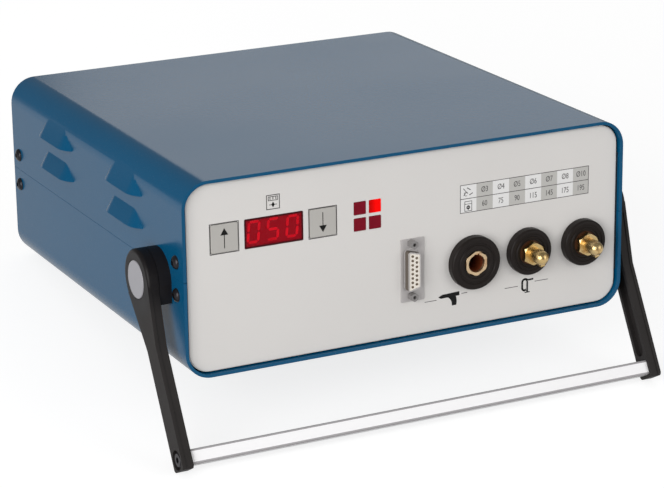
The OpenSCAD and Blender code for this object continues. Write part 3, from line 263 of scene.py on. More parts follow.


# Turned brass about an axis at x and z. What lies inside the bore, or deeper than the seat, is duller and
# darker, and the darkness is painted shade.
def turned(name, colour, rough, x, z, tarnish, dark, bore=0.0, seat=brass["open"]):
    sheet = Sheet(name)
    across, along, up = sheet.split(sheet.onCase())
    away = length(across - x, up - z)
    wave = math.tau * brass["pitch"]
    grooves = sheet.node("ShaderNodeMath", {"operation": "SINE"}, {0: away * wave + along * wave})
    cloud = sheet.noise(220.0, 4.0)
    tint = sheet.mix(cloud, shade(colour, 0.86), shade(colour, 1.12))
    tint = sheet.mix((cloud > 0.58) * 0.5, tint, tarnish)
    # Inside the bore and past the seat the colour is a painted shade
    inShade = (away < bore).larger(along > seat)
    normal = sheet.bump(grooves * 0.5 + cloud * 0.5, brass["depth"], 0.00006)
    rough = cloud * 0.2 + inShade * 0.25 + (rough - 0.1)
    return sheet.end(base=sheet.mix(inShade, tint, dark), rough=rough, metal=1 - inShade * 0.5, normal=normal)


pivot = {"y": 36.0, "z": 55.0, "darkTo": 18.0, "fadeTo": 27.0, "dark": srgb(22, 19, 20)}


# Glossier and darker round the pivot than down the arm
def armNylon():
    sheet = Sheet("blackNylon")
    across, along, up = sheet.split(sheet.onCase())
    away = length(along - pivot["y"], up - pivot["z"])
    down = sheet.ramp(away, pivot["darkTo"], pivot["fadeTo"])
    clouds = sheet.noise(90.0, 4.0)
    tint = sheet.mix(clouds, srgb(38, 35, 34), srgb(46, 43, 42))
    tint = sheet.mix(down, pivot["dark"], tint)
    normal = sheet.bump(sheet.noise(2600.0, 2.0), 0.16, 0.0002)
    return sheet.end(base=tint, rough=clouds * 0.12 + down * 0.12 + 0.40, normal=normal, specular=0.22)


barLook = {"white": srgb(254, 253, 254), "edge": srgb(168, 165, 167), "corner": 5.93}


# White faces, grey along the corners
def barSatin():
    sheet = Sheet("barWhite")
    low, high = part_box("handle_bar")
    across, along, up = sheet.split(sheet.place)
    along = (along - (low[1] + high[1]) / 2) * 1000
    up = (up - (low[2] + high[2]) / 2) * 1000
    corner = length(along, up) > barLook["corner"]
    streaks = sheet.streaks((0.05, 7.0, 7.0))
    tint = sheet.mix(streaks, shade(barLook["white"], 0.98), barLook["white"])
    tint = sheet.mix(corner, tint, barLook["edge"])
    return sheet.end(base=tint, rough=streaks * 0.1 + 0.3, normal=sheet.bump(streaks, 0.08, 0.0001))


nose = {"from": 1.2, "to": 5.4, "dull": srgb(104, 95, 86)}


# The flange is bright; the sides of the nose get a painted shade, darker and browner
def shellTin():
    sheet = Sheet("flangeTin")
    along = sheet.split(sheet.onCase())[1]
    # The nose's sides are painted dark: painted shade and painted reflection
    side = (along < panel["faceY"] - nose["from"]) * (along > panel["faceY"] - nose["to"])
    streaks = sheet.streaks((3.0, 0.6, 9.0))
    tint = sheet.mix(streaks, srgb(184, 180, 179), srgb(194, 190, 189))
    tint = sheet.mix(side, tint, nose["dull"])
    normal = sheet.bump(streaks, 0.15, 0.0001)
    return sheet.end(base=tint, rough=streaks * 0.1 + 0.4, metal=0.15, normal=normal)


# The glow on the window is painted light
display = {"x": -89.6, "width": 37.8, "height": 17.9, "edge": 1.1, "glass": srgb(148, 10, 26),
           "rim": srgb(70, 10, 18), "glow": srgb(150, 8, 22), "glowStrength": 0.25}


# See-through red with a darker rim. All but the rim glows with painted light.
def displayRed():
    sheet = Sheet("displayRed")
    across, along, up = sheet.split(sheet.onCase())
    side = abs(across - display["x"]) > display["width"] / 2 - display["edge"]
    top = abs(up - panel["keysZ"]) > display["height"] / 2 - display["edge"]
    rim = side.larger(top)
    cloud = sheet.noise(120.0, 3.0)
    tint = sheet.mix(rim, sheet.cloudy(cloud, display["glass"], 0.15), display["rim"])
    glow = sheet.mix(rim, display["glow"], (0, 0, 0, 1))
    return sheet.end(base=tint, rough=cloud * 0.1 + 0.12, alpha=rim * 0.35 + 0.62, glow=glow,
                     glowStrength=display["glowStrength"], specular=0.12)


# A lit lens. Fade darkens it towards the left, between two places.
def lamp(name, colour, glowStrength, fade=None):
    sheet = Sheet(name)
    cells = sheet.node("ShaderNodeTexVoronoi", {}, {"Vector": sheet.place, "Scale": 700.0}, out="Distance")
    cloud = sheet.noise(260.0, 3.0)
    tint = sheet.cloudy(cloud, colour, 0.2)
    if fade:
        lit = sheet.ramp(sheet.split(sheet.onCase())[0], *fade)
        tint = sheet.mix(lit, shade(colour, 0.42), tint)
    return sheet.end(base=tint, rough=cloud * 0.1 + 0.2, normal=sheet.bump(cells, 0.15, 0.0002), glow=tint,
                     glowStrength=glowStrength, specular=0.06)


sockets = {"gun": 43.5, "earthInner": 82.0, "earthOuter": 121.1, "seatY": -2.55}


def earthBrass(name, colour, key):
    x, z = sockets[key], panel["socketZ"]
    return turned(name, colour, 0.26, x, z, brass["tarnish"], brass["deep"], seat=sockets["seatY"])


blue = casePaint()
greyFoil = frontFoil()
panelPaint = panelEnamel()
blackNylon = armNylon()
bearingBlack = moulded("bearingBlack", srgb(24, 22, 24), 0.50, grain=2600.0, cloud=90.0, spread=0.18,
                       specular=0.25)
socketBlack = moulded("socketBlack", srgb(32, 27, 25), 0.42, grain=1600.0, depth=0.10, cloud=160.0,
                      spread=0.25, specular=0.15)
discGrey = moulded("discGrey", srgb(158, 157, 162), 0.32, grain=2400.0, depth=0.08, spread=0.05)
keyGrey = moulded("keyGrey", srgb(184, 181, 176), 0.40, grain=2000.0, depth=0.06, spread=0.04)
blackSteel = moulded("blackSteel", srgb(40, 38, 42), 0.30, metal=0.6, grain=3000.0, depth=0.10, spread=0.2)
blackGloss = moulded("blackGloss", srgb(24, 24, 26), 0.22, grain=1500.0, depth=0.05, spread=0.15)
footRubber = moulded("footRubber", srgb(34, 33, 33), 0.72, grain=1800.0, depth=0.25, spread=0.2)
zincSteel = drawn("zincSteel", srgb(186, 186, 182), 0.34, (0.6, 6.0, 6.0))
flangeTin = shellTin()
jackTin = drawn("jackTin", srgb(140, 137, 136), 0.45, (3.0, 0.6, 9.0), metal=0.3)
pinBrass = drawn("pinBrass", srgb(104, 82, 50), 0.45, (3.0, 0.6, 9.0), metal=0.6)
barWhite = barSatin()
sinkMetal = drawn("sinkMetal", srgb(180, 182, 186), 0.40, (5.0, 0.3, 5.0))
plateMetal = drawn("plateMetal", srgb(176, 178, 180), 0.45, (4.0, 0.4, 4.0))
gunBrass = turned("gunBrass", srgb(228, 200, 162), 0.30, sockets["gun"], panel["gunZ"], brass["gunTarnish"],
                  brass["boreShade"], bore=5.0)
innerBrass = earthBrass("innerBrass", srgb(220, 190, 132), "earthInner")
outerBrass = earthBrass("outerBrass", srgb(222, 194, 140), "earthOuter")
barCopper = drawn("barCopper", srgb(206, 132, 92), 0.34, (0.5, 0.5, 6.0), spread=0.15)
windingWire = drawn("windingWire", srgb(176, 96, 54), 0.30, (0.4, 0.4, 14.0), metal=0.8, depth=0.4,
                    spread=0.25)
coreIron = drawn("coreIron", srgb(120, 122, 128), 0.52, (0.3, 12.0, 0.3), metal=0.7, depth=0.5, spread=0.3)
capSleeve = moulded("capSleeve", srgb(36, 46, 70), 0.36)
boardGreen = moulded("boardGreen", srgb(34, 104, 62), 0.38, grain=700.0, depth=0.10, spread=0.2)
chipBlack = moulded("chipBlack", srgb(34, 34, 36), 0.50, spread=0.2)
laminate = drawn("laminate", srgb(196, 172, 118), 0.5, (2.0, 2.0, 0.2), metal=0.0, spread=0.12)
socketCream = moulded("socketCream", srgb(240, 233, 222), 0.40, spread=0.02)
inkBlack = moulded("inkBlack", srgb(12, 11, 11), 0.5, depth=0.03, spread=0.15, specular=0.2)
inkGrey = moulded("inkGrey", srgb(193, 191, 187), 0.45, depth=0.03, spread=0.04)
inkLine = moulded("inkLine", srgb(82, 80, 80), 0.5, depth=0.03, spread=0.10, specular=0.2)
inkWhite = moulded("inkWhite", srgb(234, 233, 232), 0.45, depth=0.03, spread=0.03)
windowRed = displayRed()
segmentRed = lamp("segmentRed", srgb(226, 24, 40), 1.0)
lampBright = lamp("lampBright", srgb(228, 4, 3), 0.5, fade=(-27.1, -22.2))
# The unlit lamps have a faint painted glow
lampUnlitPaintedGlow = lamp("lampUnlitPaintedGlow", srgb(118, 18, 34), 0.10)

looks = {
    "lower_shell": blue, "upper_shell": blue, "front_panel": panelPaint, "front_overlay": greyFoil,
    "rear_panel": panelPaint, "side_screws": blackSteel, "foot_pads": footRubber, "foot_screws": zincSteel,
    "key_up": keyGrey, "key_down": keyGrey, "display_window": windowRed, "display_module": chipBlack,
    "display_segments": segmentRed, "lamp_lit": lampBright, "lamps_unlit": lampUnlitPaintedGlow,
    "display_board": boardGreen, "key_switches": chipBlack, "signal_socket_shell": flangeTin,
    "signal_socket_insert": socketCream, "signal_socket_screws": jackTin, "gun_socket_body": socketBlack,
    "gun_socket_contact": gunBrass, "earth_plug_body_1": socketBlack, "earth_plug_body_2": socketBlack,
    "earth_plug_pin_1": innerBrass, "earth_plug_pin_2": outerBrass, "connector_nuts": bearingBlack,
    "handle_base_left": bearingBlack, "handle_base_right": bearingBlack, "handle_arm_left": blackNylon,
    "handle_arm_right": blackNylon, "handle_bar": barWhite, "handle_bar_screws": blackSteel,
    "pivot_bolts": zincSteel, "pivot_plates": zincSteel, "release_button_left": discGrey,
    "release_button_right": discGrey, "button_spring_left": zincSteel, "button_spring_right": zincSteel,
    "fan_frame": bearingBlack, "fan_rotor": blackGloss, "fan_guard": blackSteel, "fan_screws": zincSteel,
    "mains_inlet": bearingBlack, "mains_inlet_pins": zincSteel, "mains_switch_body": bearingBlack,
    "mains_switch_rocker": blackGloss, "fuse_holder": bearingBlack, "fuse_cap": blackGloss,
    "chassis_plate": plateMetal, "transformer_core": coreIron, "transformer_winding": windingWire,
    "capacitors": capSleeve, "capacitor_clamp": laminate, "busbars": barCopper, "power_bars": barCopper,
    "heat_sink": sinkMetal, "thyristor_module": chipBlack, "control_board": boardGreen,
    "control_board_parts": chipBlack,
}
for name, material in looks.items():
    nodes[name].data.materials.clear()
    nodes[name].data.materials.append(material)
print("materials made,", len(looks))

# Edge widths in millimetres of the pieces that repeat a node with its edges rounded
softEdges = {
    "lower_shell": 0.45, "upper_shell": 0.45, "handle_arm_left": 0.7, "handle_arm_right": 0.7,
    "handle_base_left": 0.5, "handle_base_right": 0.5, "gun_socket_body": 0.3, "earth_plug_body_1": 0.3,
    "earth_plug_body_2": 0.3, "earth_plug_pin_1": 0.35, "earth_plug_pin_2": 0.35, "gun_socket_contact": 0.3,
    "release_button_left": 0.3, "release_button_right": 0.3, "foot_pads": 0.3, "fuse_cap": 0.3,
    "mains_inlet": 0.4, "mains_switch_body": 0.4, "mains_switch_rocker": 0.3, "key_up": 0.12,
    "key_down": 0.12, "signal_socket_shell": 0.15,
}
rounding = {"merge": 0.000002, "flat": 0.6, "sharp": 22.0, "from": 40.0, "steps": 2, "weight": 80}
creases = {"nodes": ("lower_shell", "upper_shell"), "low": 24.0, "high": 36.0}


# The edge where a pressed hood leaves the wall stays crisp
def creased(mesh):
    work = bmesh.new()
    work.from_mesh(mesh)
    for edge in work.edges:
        if len(edge.link_faces) == 2:
            if creases["low"] < math.degrees(edge.calc_face_angle(0)) < creases["high"]:
                edge.smooth = False
    work.to_mesh(mesh)
    work.free()


# Runs one modifier, set by values, on a mesh and gives a plain mesh back
def modified(mesh, kind, **values):
    source = linked("source", mesh)
    modifier = source.modifiers.new(kind.lower(), kind)
    for key, value in values.items():
        setattr(modifier, key, value)
    done = evaluated(source)
    bpy.data.objects.remove(source)
    return done


def softened(node, width):
    mesh = nodes[node].data.copy()
    work = bmesh.new()
    work.from_mesh(mesh)
    bmesh.ops.remove_doubles(work, verts=work.verts, dist=rounding["merge"])
    flat = math.radians(rounding["flat"])
    bmesh.ops.dissolve_limit(work, angle_limit=flat, verts=work.verts, edges=work.edges)
    work.to_mesh(mesh)
    work.free()
    mesh.shade_smooth()
    mesh.set_sharp_from_angle(angle=math.radians(rounding["sharp"]))
    rounded = modified(mesh, "BEVEL", width=width / 1000, segments=rounding["steps"], limit_method="ANGLE",
                       angle_limit=math.radians(rounding["from"]), use_clamp_overlap=True)
    if node in creases["nodes"]:
        creased(rounded)
    return modified(rounded, "WEIGHTED_NORMAL", keep_sharp=True, weight=rounding["weight"])


# lower_shell becomes softLowerShell
def softName(node):
    return "soft" + "".join(part.capitalize() for part in node.split("_"))


for node, width in softEdges.items():
    mesh = softened(node, width)
    piece(softName(node), mesh, bodyOf[node], looks[node], replaced=(node,), sharp=None)
print("edges rounded on", len(softEdges), "nodes")

seam = {"z": 60.5, "half": 0.3, "wall": 149.0, "depth": 0.15, "thick": 0.9, "front": 0.6, "back": 282.4}


# The painted lip of the lower sheet, just behind the gap between the shells
def seamLips():
    s, work = seam, bmesh.new()
    size = Vector((s["thick"], s["back"] - s["front"], s["half"] * 2))
    for side in (-1, 1):
        x = side * (s["wall"] - s["depth"] - s["thick"] / 2)
        middle = Vector((x, (s["front"] + s["back"]) / 2, s["z"]))
        for vert in bmesh.ops.create_cube(work, size=1.0)["verts"]:
            vert.co = Vector([a * b for a, b in zip(vert.co, size)]) + middle
    mesh = bpy.data.meshes.new("seamLips")
    work.to_mesh(mesh)
    work.free()
    mesh.transform(leaned)
    piece("seamLips", mesh, "case", blue)


seamLips()

# Printing stands out from the foil by one of three heights, in millimetres
ink = {"fill": 0.05, "line": 0.08, "top": 0.10, "depth": 0.04}


# Closed (x, z) outlines, extruded towards the viewer from a face at y
def plates(outlines, y, out=ink["fill"]):
    work = bmesh.new()
    for outline in outlines:
        area = sum(a[0] * b[1] - b[0] * a[1] for a, b in zip(outline, outline[1:] + outline[:1]))
        if area < 0:
            outline = outline[::-1]
        front = [work.verts.new((x, y - out, z)) for x, z in outline]
        rear = [work.verts.new((x, y - out + ink["depth"], z)) for x, z in outline]
        work.faces.new(front)
        work.faces.new(rear[::-1])
        for i in range(len(outline)):
            j = (i + 1) % len(outline)
            work.faces.new((front[j], front[i], rear[i], rear[j]))
    mesh = bpy.data.meshes.new("plates")
    work.to_mesh(mesh)
    work.free()
    mesh.transform(leaned)
    return mesh


# Printing on the foil rides on the case unless a key carries it
def printed(name, mesh, material, body="case"):
    piece(name, mesh, body, material)


def bar(x0, z0, x1, z1):
    return [(x0, z0), (x1, z0), (x1, z1), (x0, z1)]


# A line of even width through points, as small plates that overlap at the bends
def stroke(points, width):
    made = []
    for a, b in zip(points, points[1:]):
        along = Vector((b[0] - a[0], b[1] - a[1])).normalized()
        side = Vector((-along.y, along.x)) * width / 2
        start, end = Vector(a) - along * width * 0.3, Vector(b) + along * width * 0.3
        made.append([tuple(start - side), tuple(end - side), tuple(end + side), tuple(start + side)])
    return made


def frameOf(x0, z0, x1, z1, w):
    low, high = bar(x0, z0, x1, z0 + w), bar(x0, z1 - w, x1, z1)
    left, right = bar(x0, z0 + w, x0 + w, z1 - w), bar(x1 - w, z0 + w, x1, z1 - w)
    return [low, high, left, right]


def arc(x, z, radius, start, end, steps=14):
    angles = [math.radians(start + (end - start) * i / steps) for i in range(steps + 1)]
    return [(x + radius * math.cos(angle), z + radius * math.sin(angle)) for angle in angles]


def lettering(text, x, z, size, y, out, stretch):
    curve = bpy.data.curves.new("lettering", "FONT")
    curve.body, curve.size, curve.align_x, curve.align_y = text, size, "CENTER", "CENTER"
    curve.extrude, curve.resolution_u = ink["depth"] / 2, 3
    holder = linked("lettering", curve)
    mesh = evaluated(holder)
    bpy.data.objects.remove(holder)
    facing = Matrix.Rotation(math.radians(90), 4, "X") @ Matrix.Diagonal((stretch, 1, 1, 1))
    mesh.transform(Matrix.Translation((x, y - out + ink["depth"] / 2, z)) @ facing)
    mesh.transform(leaned)
    return mesh


def joined(meshes):
    work = bmesh.new()
    for mesh in meshes:
        work.from_mesh(mesh)
    whole = bpy.data.meshes.new("joined")
    work.to_mesh(whole)
    work.free()
    return whole


settings = {
    "left": 34.8, "right": 125.9, "low": 74.7, "high": 92.6, "line": 0.4,
    "sizes": ["3", "4", "5", "6", "7", "8", "10"], "values": ["60", "75", "90", "115", "145", "175", "195"],
    "letters": 5.0, "narrow": 0.76, "upper": 4.3, "lower": -4.6,
}


# The two small signs at the head of the rows: a stud over its sheet, and a dial
def rowSigns(x, z):
    made = stroke([(x - 3.4, z + 6.6), (x - 1.2, z + 4.0), (x - 3.2, z + 2.2)], 0.35)
    made += stroke([(x - 0.8, z + 6.8), (x + 1.4, z + 5.4)], 0.5)
    made += stroke(arc(x - 1.6, z + 3.0, 1.2, 0, 300), 0.3)
    made += stroke([(x + 0.8, z + 2.2), (x + 3.0, z + 3.2)], 0.5)
    made += frameOf(x - 2.6, z - 8.0, x + 2.6, z - 1.6, 0.35)
    made += [bar(x - 2.6, z - 3.6, x + 2.6, z - 3.3)]
    made += stroke(arc(x, z - 5.6, 0.9, 0, 350), 0.7)
    made += [bar(x - 0.2, z - 7.2, x + 0.2, z - 4.2)]
    return made


def settingsTable():
    s, y = settings, panel["faceY"]
    pitch = (s["right"] - s["left"]) / 8
    middle = (s["low"] + s["high"]) / 2
    columns = [bar(s["left"] + pitch * i, s["low"], s["left"] + pitch * (i + 1), s["high"]) for i in range(8)]
    lines = frameOf(s["left"], s["low"], s["right"], s["high"], s["line"])
    lines += [bar(s["left"], middle - s["line"] / 2, s["right"], middle + s["line"] / 2)]
    cells = []
    for i, (size, value) in enumerate(zip(s["sizes"], s["values"])):
        x = s["left"] + pitch * (i + 1.5)
        for text, height in (("Ø" + size, s["upper"]), (value, s["lower"])):
            cells.append(lettering(text, x, middle + height, s["letters"], y, ink["top"], s["narrow"]))
    signs = plates(rowSigns(s["left"] + pitch / 2, middle), y, ink["top"])
    printed("tableGrey", plates(columns[1::2], y), inkGrey)
    printed("tableWhite", plates(columns[0::2], y), inkWhite)
    printed("tableLines", plates(lines, y, ink["line"]), inkLine)
    printed("tableFigures", joined(cells + [signs]), inkLine)


settingsTable()

keys = {"up": -121.5, "down": -57.8, "size": 17.2, "proud": 0.25, "gap": 0.32, "frame": 0.5}


# An arrow on a key, up for direction 1 and down for -1
def arrow(x, direction):
    z, d = panel["keysZ"], direction
    head = [(x - 2.5, z + d * 1.8), (x + 2.5, z + d * 1.8), (x, z + d * 6.0)]
    low, high = sorted((z - d * 6.2, z + d * 2.0))
    return [head, bar(x - 0.25, low, x + 0.25, high)]


def keyPrinting():
    y, w, z = panel["faceY"], keys["frame"], panel["keysZ"]
    half = keys["size"] / 2 + keys["gap"] + w
    frames = []
    for x in (keys["up"], keys["down"]):
        frames += frameOf(x - half, z - half, x + half, z + half, w)
    printed("keyFrames", plates(frames, y), inkLine)
    printed("upArrow", plates(arrow(keys["up"], 1), y - keys["proud"]), inkBlack, body="up_key")
    printed("downArrow", plates(arrow(keys["down"], -1), y - keys["proud"]), inkBlack, body="down_key")


keyPrinting()

sign = {"left": -94.3, "right": -85.5, "low": 96.0, "high": 105.0, "line": 0.5, "fine": 0.4, "digits": 1.9}


# A small box over the display: a meter over a needle
def displaySign():
    y, x, s = panel["faceY"], (sign["left"] + sign["right"]) / 2, sign
    lines = frameOf(s["left"], s["low"], s["right"], s["high"], s["line"])
    lines += frameOf(s["left"] + 1.2, s["high"] - 3.7, s["right"] - 1.2, s["high"] - 1.0, s["fine"])
    for i in (-1, 0, 1):
        at = x + i * s["digits"]
        lines += [bar(at - 0.25, s["high"] - 3.0, at + 0.25, s["high"] - 1.4)]
    z = s["low"] + 2.9
    dark = stroke([(x - 2.4, z), (x + 2.4, z)], 0.35)
    dark += [[(x, z - 1.7), (x + 1.1, z), (x, z + 1.7), (x - 1.1, z)]]
    printed("displaySignLines", plates(lines, y), inkLine)
    printed("displaySignNeedle", plates(dark, y), inkBlack)


displaySign()

signs = {"pistolX": 27.6, "pistolZ": 21.2, "clampX": 82.0, "clampZ": 21.5}


def pistol(x, z):
    barrel = [(x - 7.8, z + 2.5), (x - 6.0, z + 1.4), (x + 6.9, z + 1.7), (x + 6.9, z + 4.3)]
    barrel += [(x - 5.0, z + 3.8)]
    grip = arc(x - 3.9, z - 3.4, 5.6, 66, -8, 6) + arc(x - 5.4, z - 1.6, 10.4, -14, 18, 6)
    return [barrel, grip]


def clamp(x, z):
    bow = arc(x - 1.0, z + 2.2, 2.0, 40, 180) + [(x - 3.0, z - 1.4)] + arc(x - 1.4, z - 1.4, 1.6, 180, 300, 6)
    made = stroke(bow, 1.3)
    made += stroke([(x - 0.2, z + 3.4), (x + 4.6, z + 3.6)], 1.1)
    made += stroke([(x + 0.6, z + 2.4), (x + 0.6, z - 4.2)], 1.2)
    return made + [bar(x - 1.2, z - 4.8, x + 2.4, z - 4.1)]


# Pistol under the gun socket, clamp under the earth plugs, each between two short lines
def connectorSigns():
    y = panel["faceY"]
    x, z = signs["pistolX"], signs["pistolZ"]
    dark = pistol(x, z)
    lines = [bar(x - 17.2, z + 0.75, x - 9.0, z + 1.15), bar(x + 8.4, z + 2.4, x + 12.4, z + 2.8)]
    x, z = signs["clampX"], signs["clampZ"]
    dark += clamp(x, z)
    lines += [bar(x - 15.5, z + 0.2, x - 6.2, z + 0.6), bar(x + 6.0, z + 1.6, x + 15.5, z + 2.0)]
    printed("connectorSigns", plates(dark, y), inkBlack)
    printed("connectorLines", plates(lines, y), inkLine)


connectorSigns()
print("front printed")


# A geometry tree with named number inputs, for parts that repeat
class Grove:
    def __init__(self, name, **numbers):
        self.tree = bpy.data.node_groups.new(name, "GeometryNodeTree")
        self.tree.interface.new_socket("Geometry", in_out="INPUT", socket_type="NodeSocketGeometry")
        self.tree.interface.new_socket("Geometry", in_out="OUTPUT", socket_type="NodeSocketGeometry")
        self.names = {}
        for key, value in numbers.items():
            kind = "NodeSocketInt" if isinstance(value, int) else "NodeSocketFloat"
            socket = self.tree.interface.new_socket(key, in_out="INPUT", socket_type=kind)
            socket.default_value = value
            self.names[key] = socket.identifier
        self.start = self.tree.nodes.new("NodeGroupInput")

    def number(self, key):
        return self.start.outputs[key]

    def node(self, kind, values, **options):
        made = self.tree.nodes.new(kind)
        for key, value in options.items():
            setattr(made, key, value)
        for key, value in values.items():
            if isinstance(value, bpy.types.NodeSocket):
                self.tree.links.new(value, made.inputs[key])
            elif isinstance(value, bpy.types.Node):
                self.tree.links.new(value.outputs[0], made.inputs[key])
            else:
                made.inputs[key].default_value = value
        return made

    # A copy of the shape on each point of the mesh that the tree runs on
    def onPoints(self, shape):
        return self.node("GeometryNodeInstanceOnPoints", {"Points": self.start.outputs[0], "Instance": shape})

    def end(self, shape, material):
        real = self.node("GeometryNodeRealizeInstances", {0: shape})
        dressed = self.node("GeometryNodeSetMaterial", {0: real, 2: material})
        output = self.tree.nodes.new("NodeGroupOutput")
        self.tree.links.new(dressed.outputs[0], output.inputs[0])

    # Runs the tree on a mesh and gives a plain mesh back
    def grown(self, base, **numbers):
        holder = linked("holder", base)
        modifier = holder.modifiers.new("tree", "NODES")
        modifier.node_group = self.tree
        for key, value in numbers.items():
            modifier[self.names[key]] = value
        mesh = evaluated(holder)
        bpy.data.objects.remove(holder)
        return mesh


# A mesh of loose points, in millimetres
def dots(points):
    mesh = bpy.data.meshes.new("dots")
    mesh.from_pydata([tuple(p) for p in points], [], [])
    return mesh


# A domed head with a six-sided key hole, standing along +Z at each point. The block cuts the ball in half.
screw = {"head": 4.2, "rise": 2.6, "key": 1.6, "steps": 40, "rings": 24, "block": 20.0}


def screwTree():
    grove = Grove("screwTree", head=screw["head"], rise=screw["rise"], key=screw["key"], steps=screw["steps"])
    head, rise = grove.number("head"), grove.number("rise")
    ball = {"Segments": grove.number("steps"), "Rings": screw["rings"], "Radius": head}
    ball = grove.node("GeometryNodeMeshUVSphere", ball)
    squash = grove.node("ShaderNodeMath", {0: rise, 1: head}, operation="DIVIDE")
    scale = grove.node("ShaderNodeCombineXYZ", {"X": 1.0, "Y": 1.0, "Z": squash})
    dome = grove.node("GeometryNodeTransform", {"Geometry": ball, "Scale": scale})
    hole = {"Vertices": 6, "Radius": grove.number("key"), "Depth": rise}
    hole = grove.node("GeometryNodeMeshCylinder", hole)
    lift = grove.node("ShaderNodeCombineXYZ", {"Z": rise})
    raised = grove.node("GeometryNodeTransform", {"Geometry": hole, "Translation": lift})
    block = {"Vertices": 8, "Radius": screw["block"], "Depth": screw["block"]}
    block = grove.node("GeometryNodeMeshCylinder", block)
    below = {"Geometry": block, "Translation": (0, 0, -screw["block"] / 2)}
    below = grove.node("GeometryNodeTransform", below)
    cut = grove.node("GeometryNodeMeshBoolean", {"Mesh 1": dome}, operation="DIFFERENCE", solver="EXACT")
    for tool in (raised, below):
        grove.tree.links.new(tool.outputs[0], cut.inputs["Mesh 2"])
    grove.end(grove.onPoints(cut), blackSteel)
    return grove


sideScrews = {"along": [10.5, 272.5], "heights": [50.5, 70.5], "wall": 149.0, "proud": 0.04}


# Turns the tree's up outwards to the left (-1) or right (1) side, at a distance from the middle
def outwards(side, distance, y=0.0, z=0.0):
    return Matrix.Translation((side * distance, y, z)) @ Matrix.Rotation(math.radians(90 * side), 4, "Y")


def caseScrews():
    tree = screwTree()
    sides = []
    for side in (-1, 1):
        points = [(-side * z, y, 0) for y in sideScrews["along"] for z in sideScrews["heights"]]
        mesh = tree.grown(dots(points), head=screw["head"])
        mesh.transform(outwards(side, sideScrews["wall"] - sideScrews["proud"]))
        sides.append(mesh)
    mesh = joined(sides)
    mesh.transform(leaned)
    piece("caseScrewHeads", mesh, "case", blackSteel, replaced=("side_screws",), sharp=30)


caseScrews()

signal = {"x": 0.7, "z": 45.0, "face": -2.7, "pitch": 2.76, "rows": 2.84, "hole": 0.62, "wall": 0.28,
          "lip": 0.5, "steps": 14, "counts": (8, 7)}


# A small sleeve in each contact hole
def contactTree():
    grove = Grove("contactTree", hole=signal["hole"], wall=signal["wall"], steps=signal["steps"])
    circle = {"Resolution": grove.number("steps"), "Radius": grove.number("hole")}
    circle = grove.node("GeometryNodeCurvePrimitiveCircle", circle, mode="RADIUS")
    section = {"Width": grove.number("wall"), "Height": signal["lip"]}
    section = grove.node("GeometryNodeCurvePrimitiveQuadrilateral", section)
    tube = grove.node("GeometryNodeCurveToMesh", {"Curve": circle, "Profile Curve": section})
    grove.end(grove.onPoints(tube), pinBrass)
    return grove


def signalContacts():
    points = []
    for row, count in enumerate(signal["counts"]):
        x = signal["x"] + (row - 0.5) * signal["rows"]
        for i in range(count):
            z = signal["z"] + (i - (count - 1) / 2) * signal["pitch"]
            points.append((x, -z, 0))
    mesh = contactTree().grown(dots(points), hole=signal["hole"])
    mesh.transform(Matrix.Translation((0, signal["face"], 0)) @ Matrix.Rotation(math.radians(-90), 4, "X"))
    mesh.transform(leaned)
    piece("signalContacts", mesh, "case", pinBrass)


signalContacts()

spring = {"radius": 5.9, "wire": 0.35, "turns": 3.5, "low": 11.45, "high": 13.1, "steps": 40, "section": 10,
          "wall": 149.0, "keep": 0.12}


# A wire wound between two heights
def coilTree():
    grove = Grove("coilTree", radius=spring["radius"], wire=spring["wire"], turns=spring["turns"], height=1.0,
                  steps=spring["steps"])
    words = {"Resolution": "steps", "Rotations": "turns", "Height": "height", "Start Radius": "radius",
             "End Radius": "radius"}
    coil = {socket: grove.number(key) for socket, key in words.items()}
    coil = grove.node("GeometryNodeCurveSpiral", coil)
    section = {"Resolution": spring["section"], "Radius": grove.number("wire")}
    section = grove.node("GeometryNodeCurvePrimitiveCircle", section, mode="RADIUS")
    tube = grove.node("GeometryNodeCurveToMesh", {"Curve": coil, "Profile Curve": section, "Fill Caps": True})
    grove.end(tube, zincSteel)
    return grove


def buttonSprings():
    tree = coilTree()
    foot = spring["wall"] + spring["low"]
    for side, word in ((-1, "left"), (1, "right")):
        mesh = tree.grown(dots([(0, 0, 0)]), height=spring["high"] - spring["low"])
        mesh.transform(outwards(side, foot, pivot["y"], pivot["z"]))
        mesh.transform(leaned)
        name = "springCoil" + word.capitalize()
        coil = piece(name, mesh, "case", zincSteel, replaced=("button_spring_" + word,))
        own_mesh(coil)


buttonSprings()
print("repeated parts grown")

# Place in millimetres before the lean, angles in radians, focal length in pixels of a picture this wide
camera = {"place": (-704.754, -1312.994, 536.251), "yaw": 0.460606, "pitch": 0.308048, "roll": -0.0128568,
          "focal": 2605.132, "picture": 664, "sensor": 36.0, "near": 0.05, "far": 50}


def makeCamera():
    yaw, pitch, roll = camera["yaw"], camera["pitch"], camera["roll"]
    ahead = Vector((math.sin(yaw) * math.cos(pitch), math.cos(yaw) * math.cos(pitch), -math.sin(pitch)))
    flat = ahead.cross(Vector((0, 0, 1))).normalized()
    above = flat.cross(ahead)
    across = flat * math.cos(roll) + above * math.sin(roll)
    up = above * math.cos(roll) - flat * math.sin(roll)
    turn = Matrix((across, up, -ahead)).transposed().to_4x4()
    data = bpy.data.cameras.new("camera")
    data.sensor_width = camera["sensor"]
    data.lens = camera["focal"] * camera["sensor"] / camera["picture"]
    data.clip_start, data.clip_end = camera["near"], camera["far"]
    eye = linked("camera", data)
    eye.matrix_world = Matrix.Translation(leaned @ Vector(camera["place"])) @ upright @ turn
    bpy.context.scene.camera = eye


makeCamera()

# Glow and gloss are what the floor shows to the eye and in reflections, sky the same for the world
studio = {"floorColour": (0.36, 0.36, 0.36, 1), "floorGlow": 0.77, "floorGloss": 0.5, "near": 0.6, "far": 1.6,
          "floorHalf": 12.0, "sky": 0.42, "skyGloss": 0.22, "skySeen": 1.0}


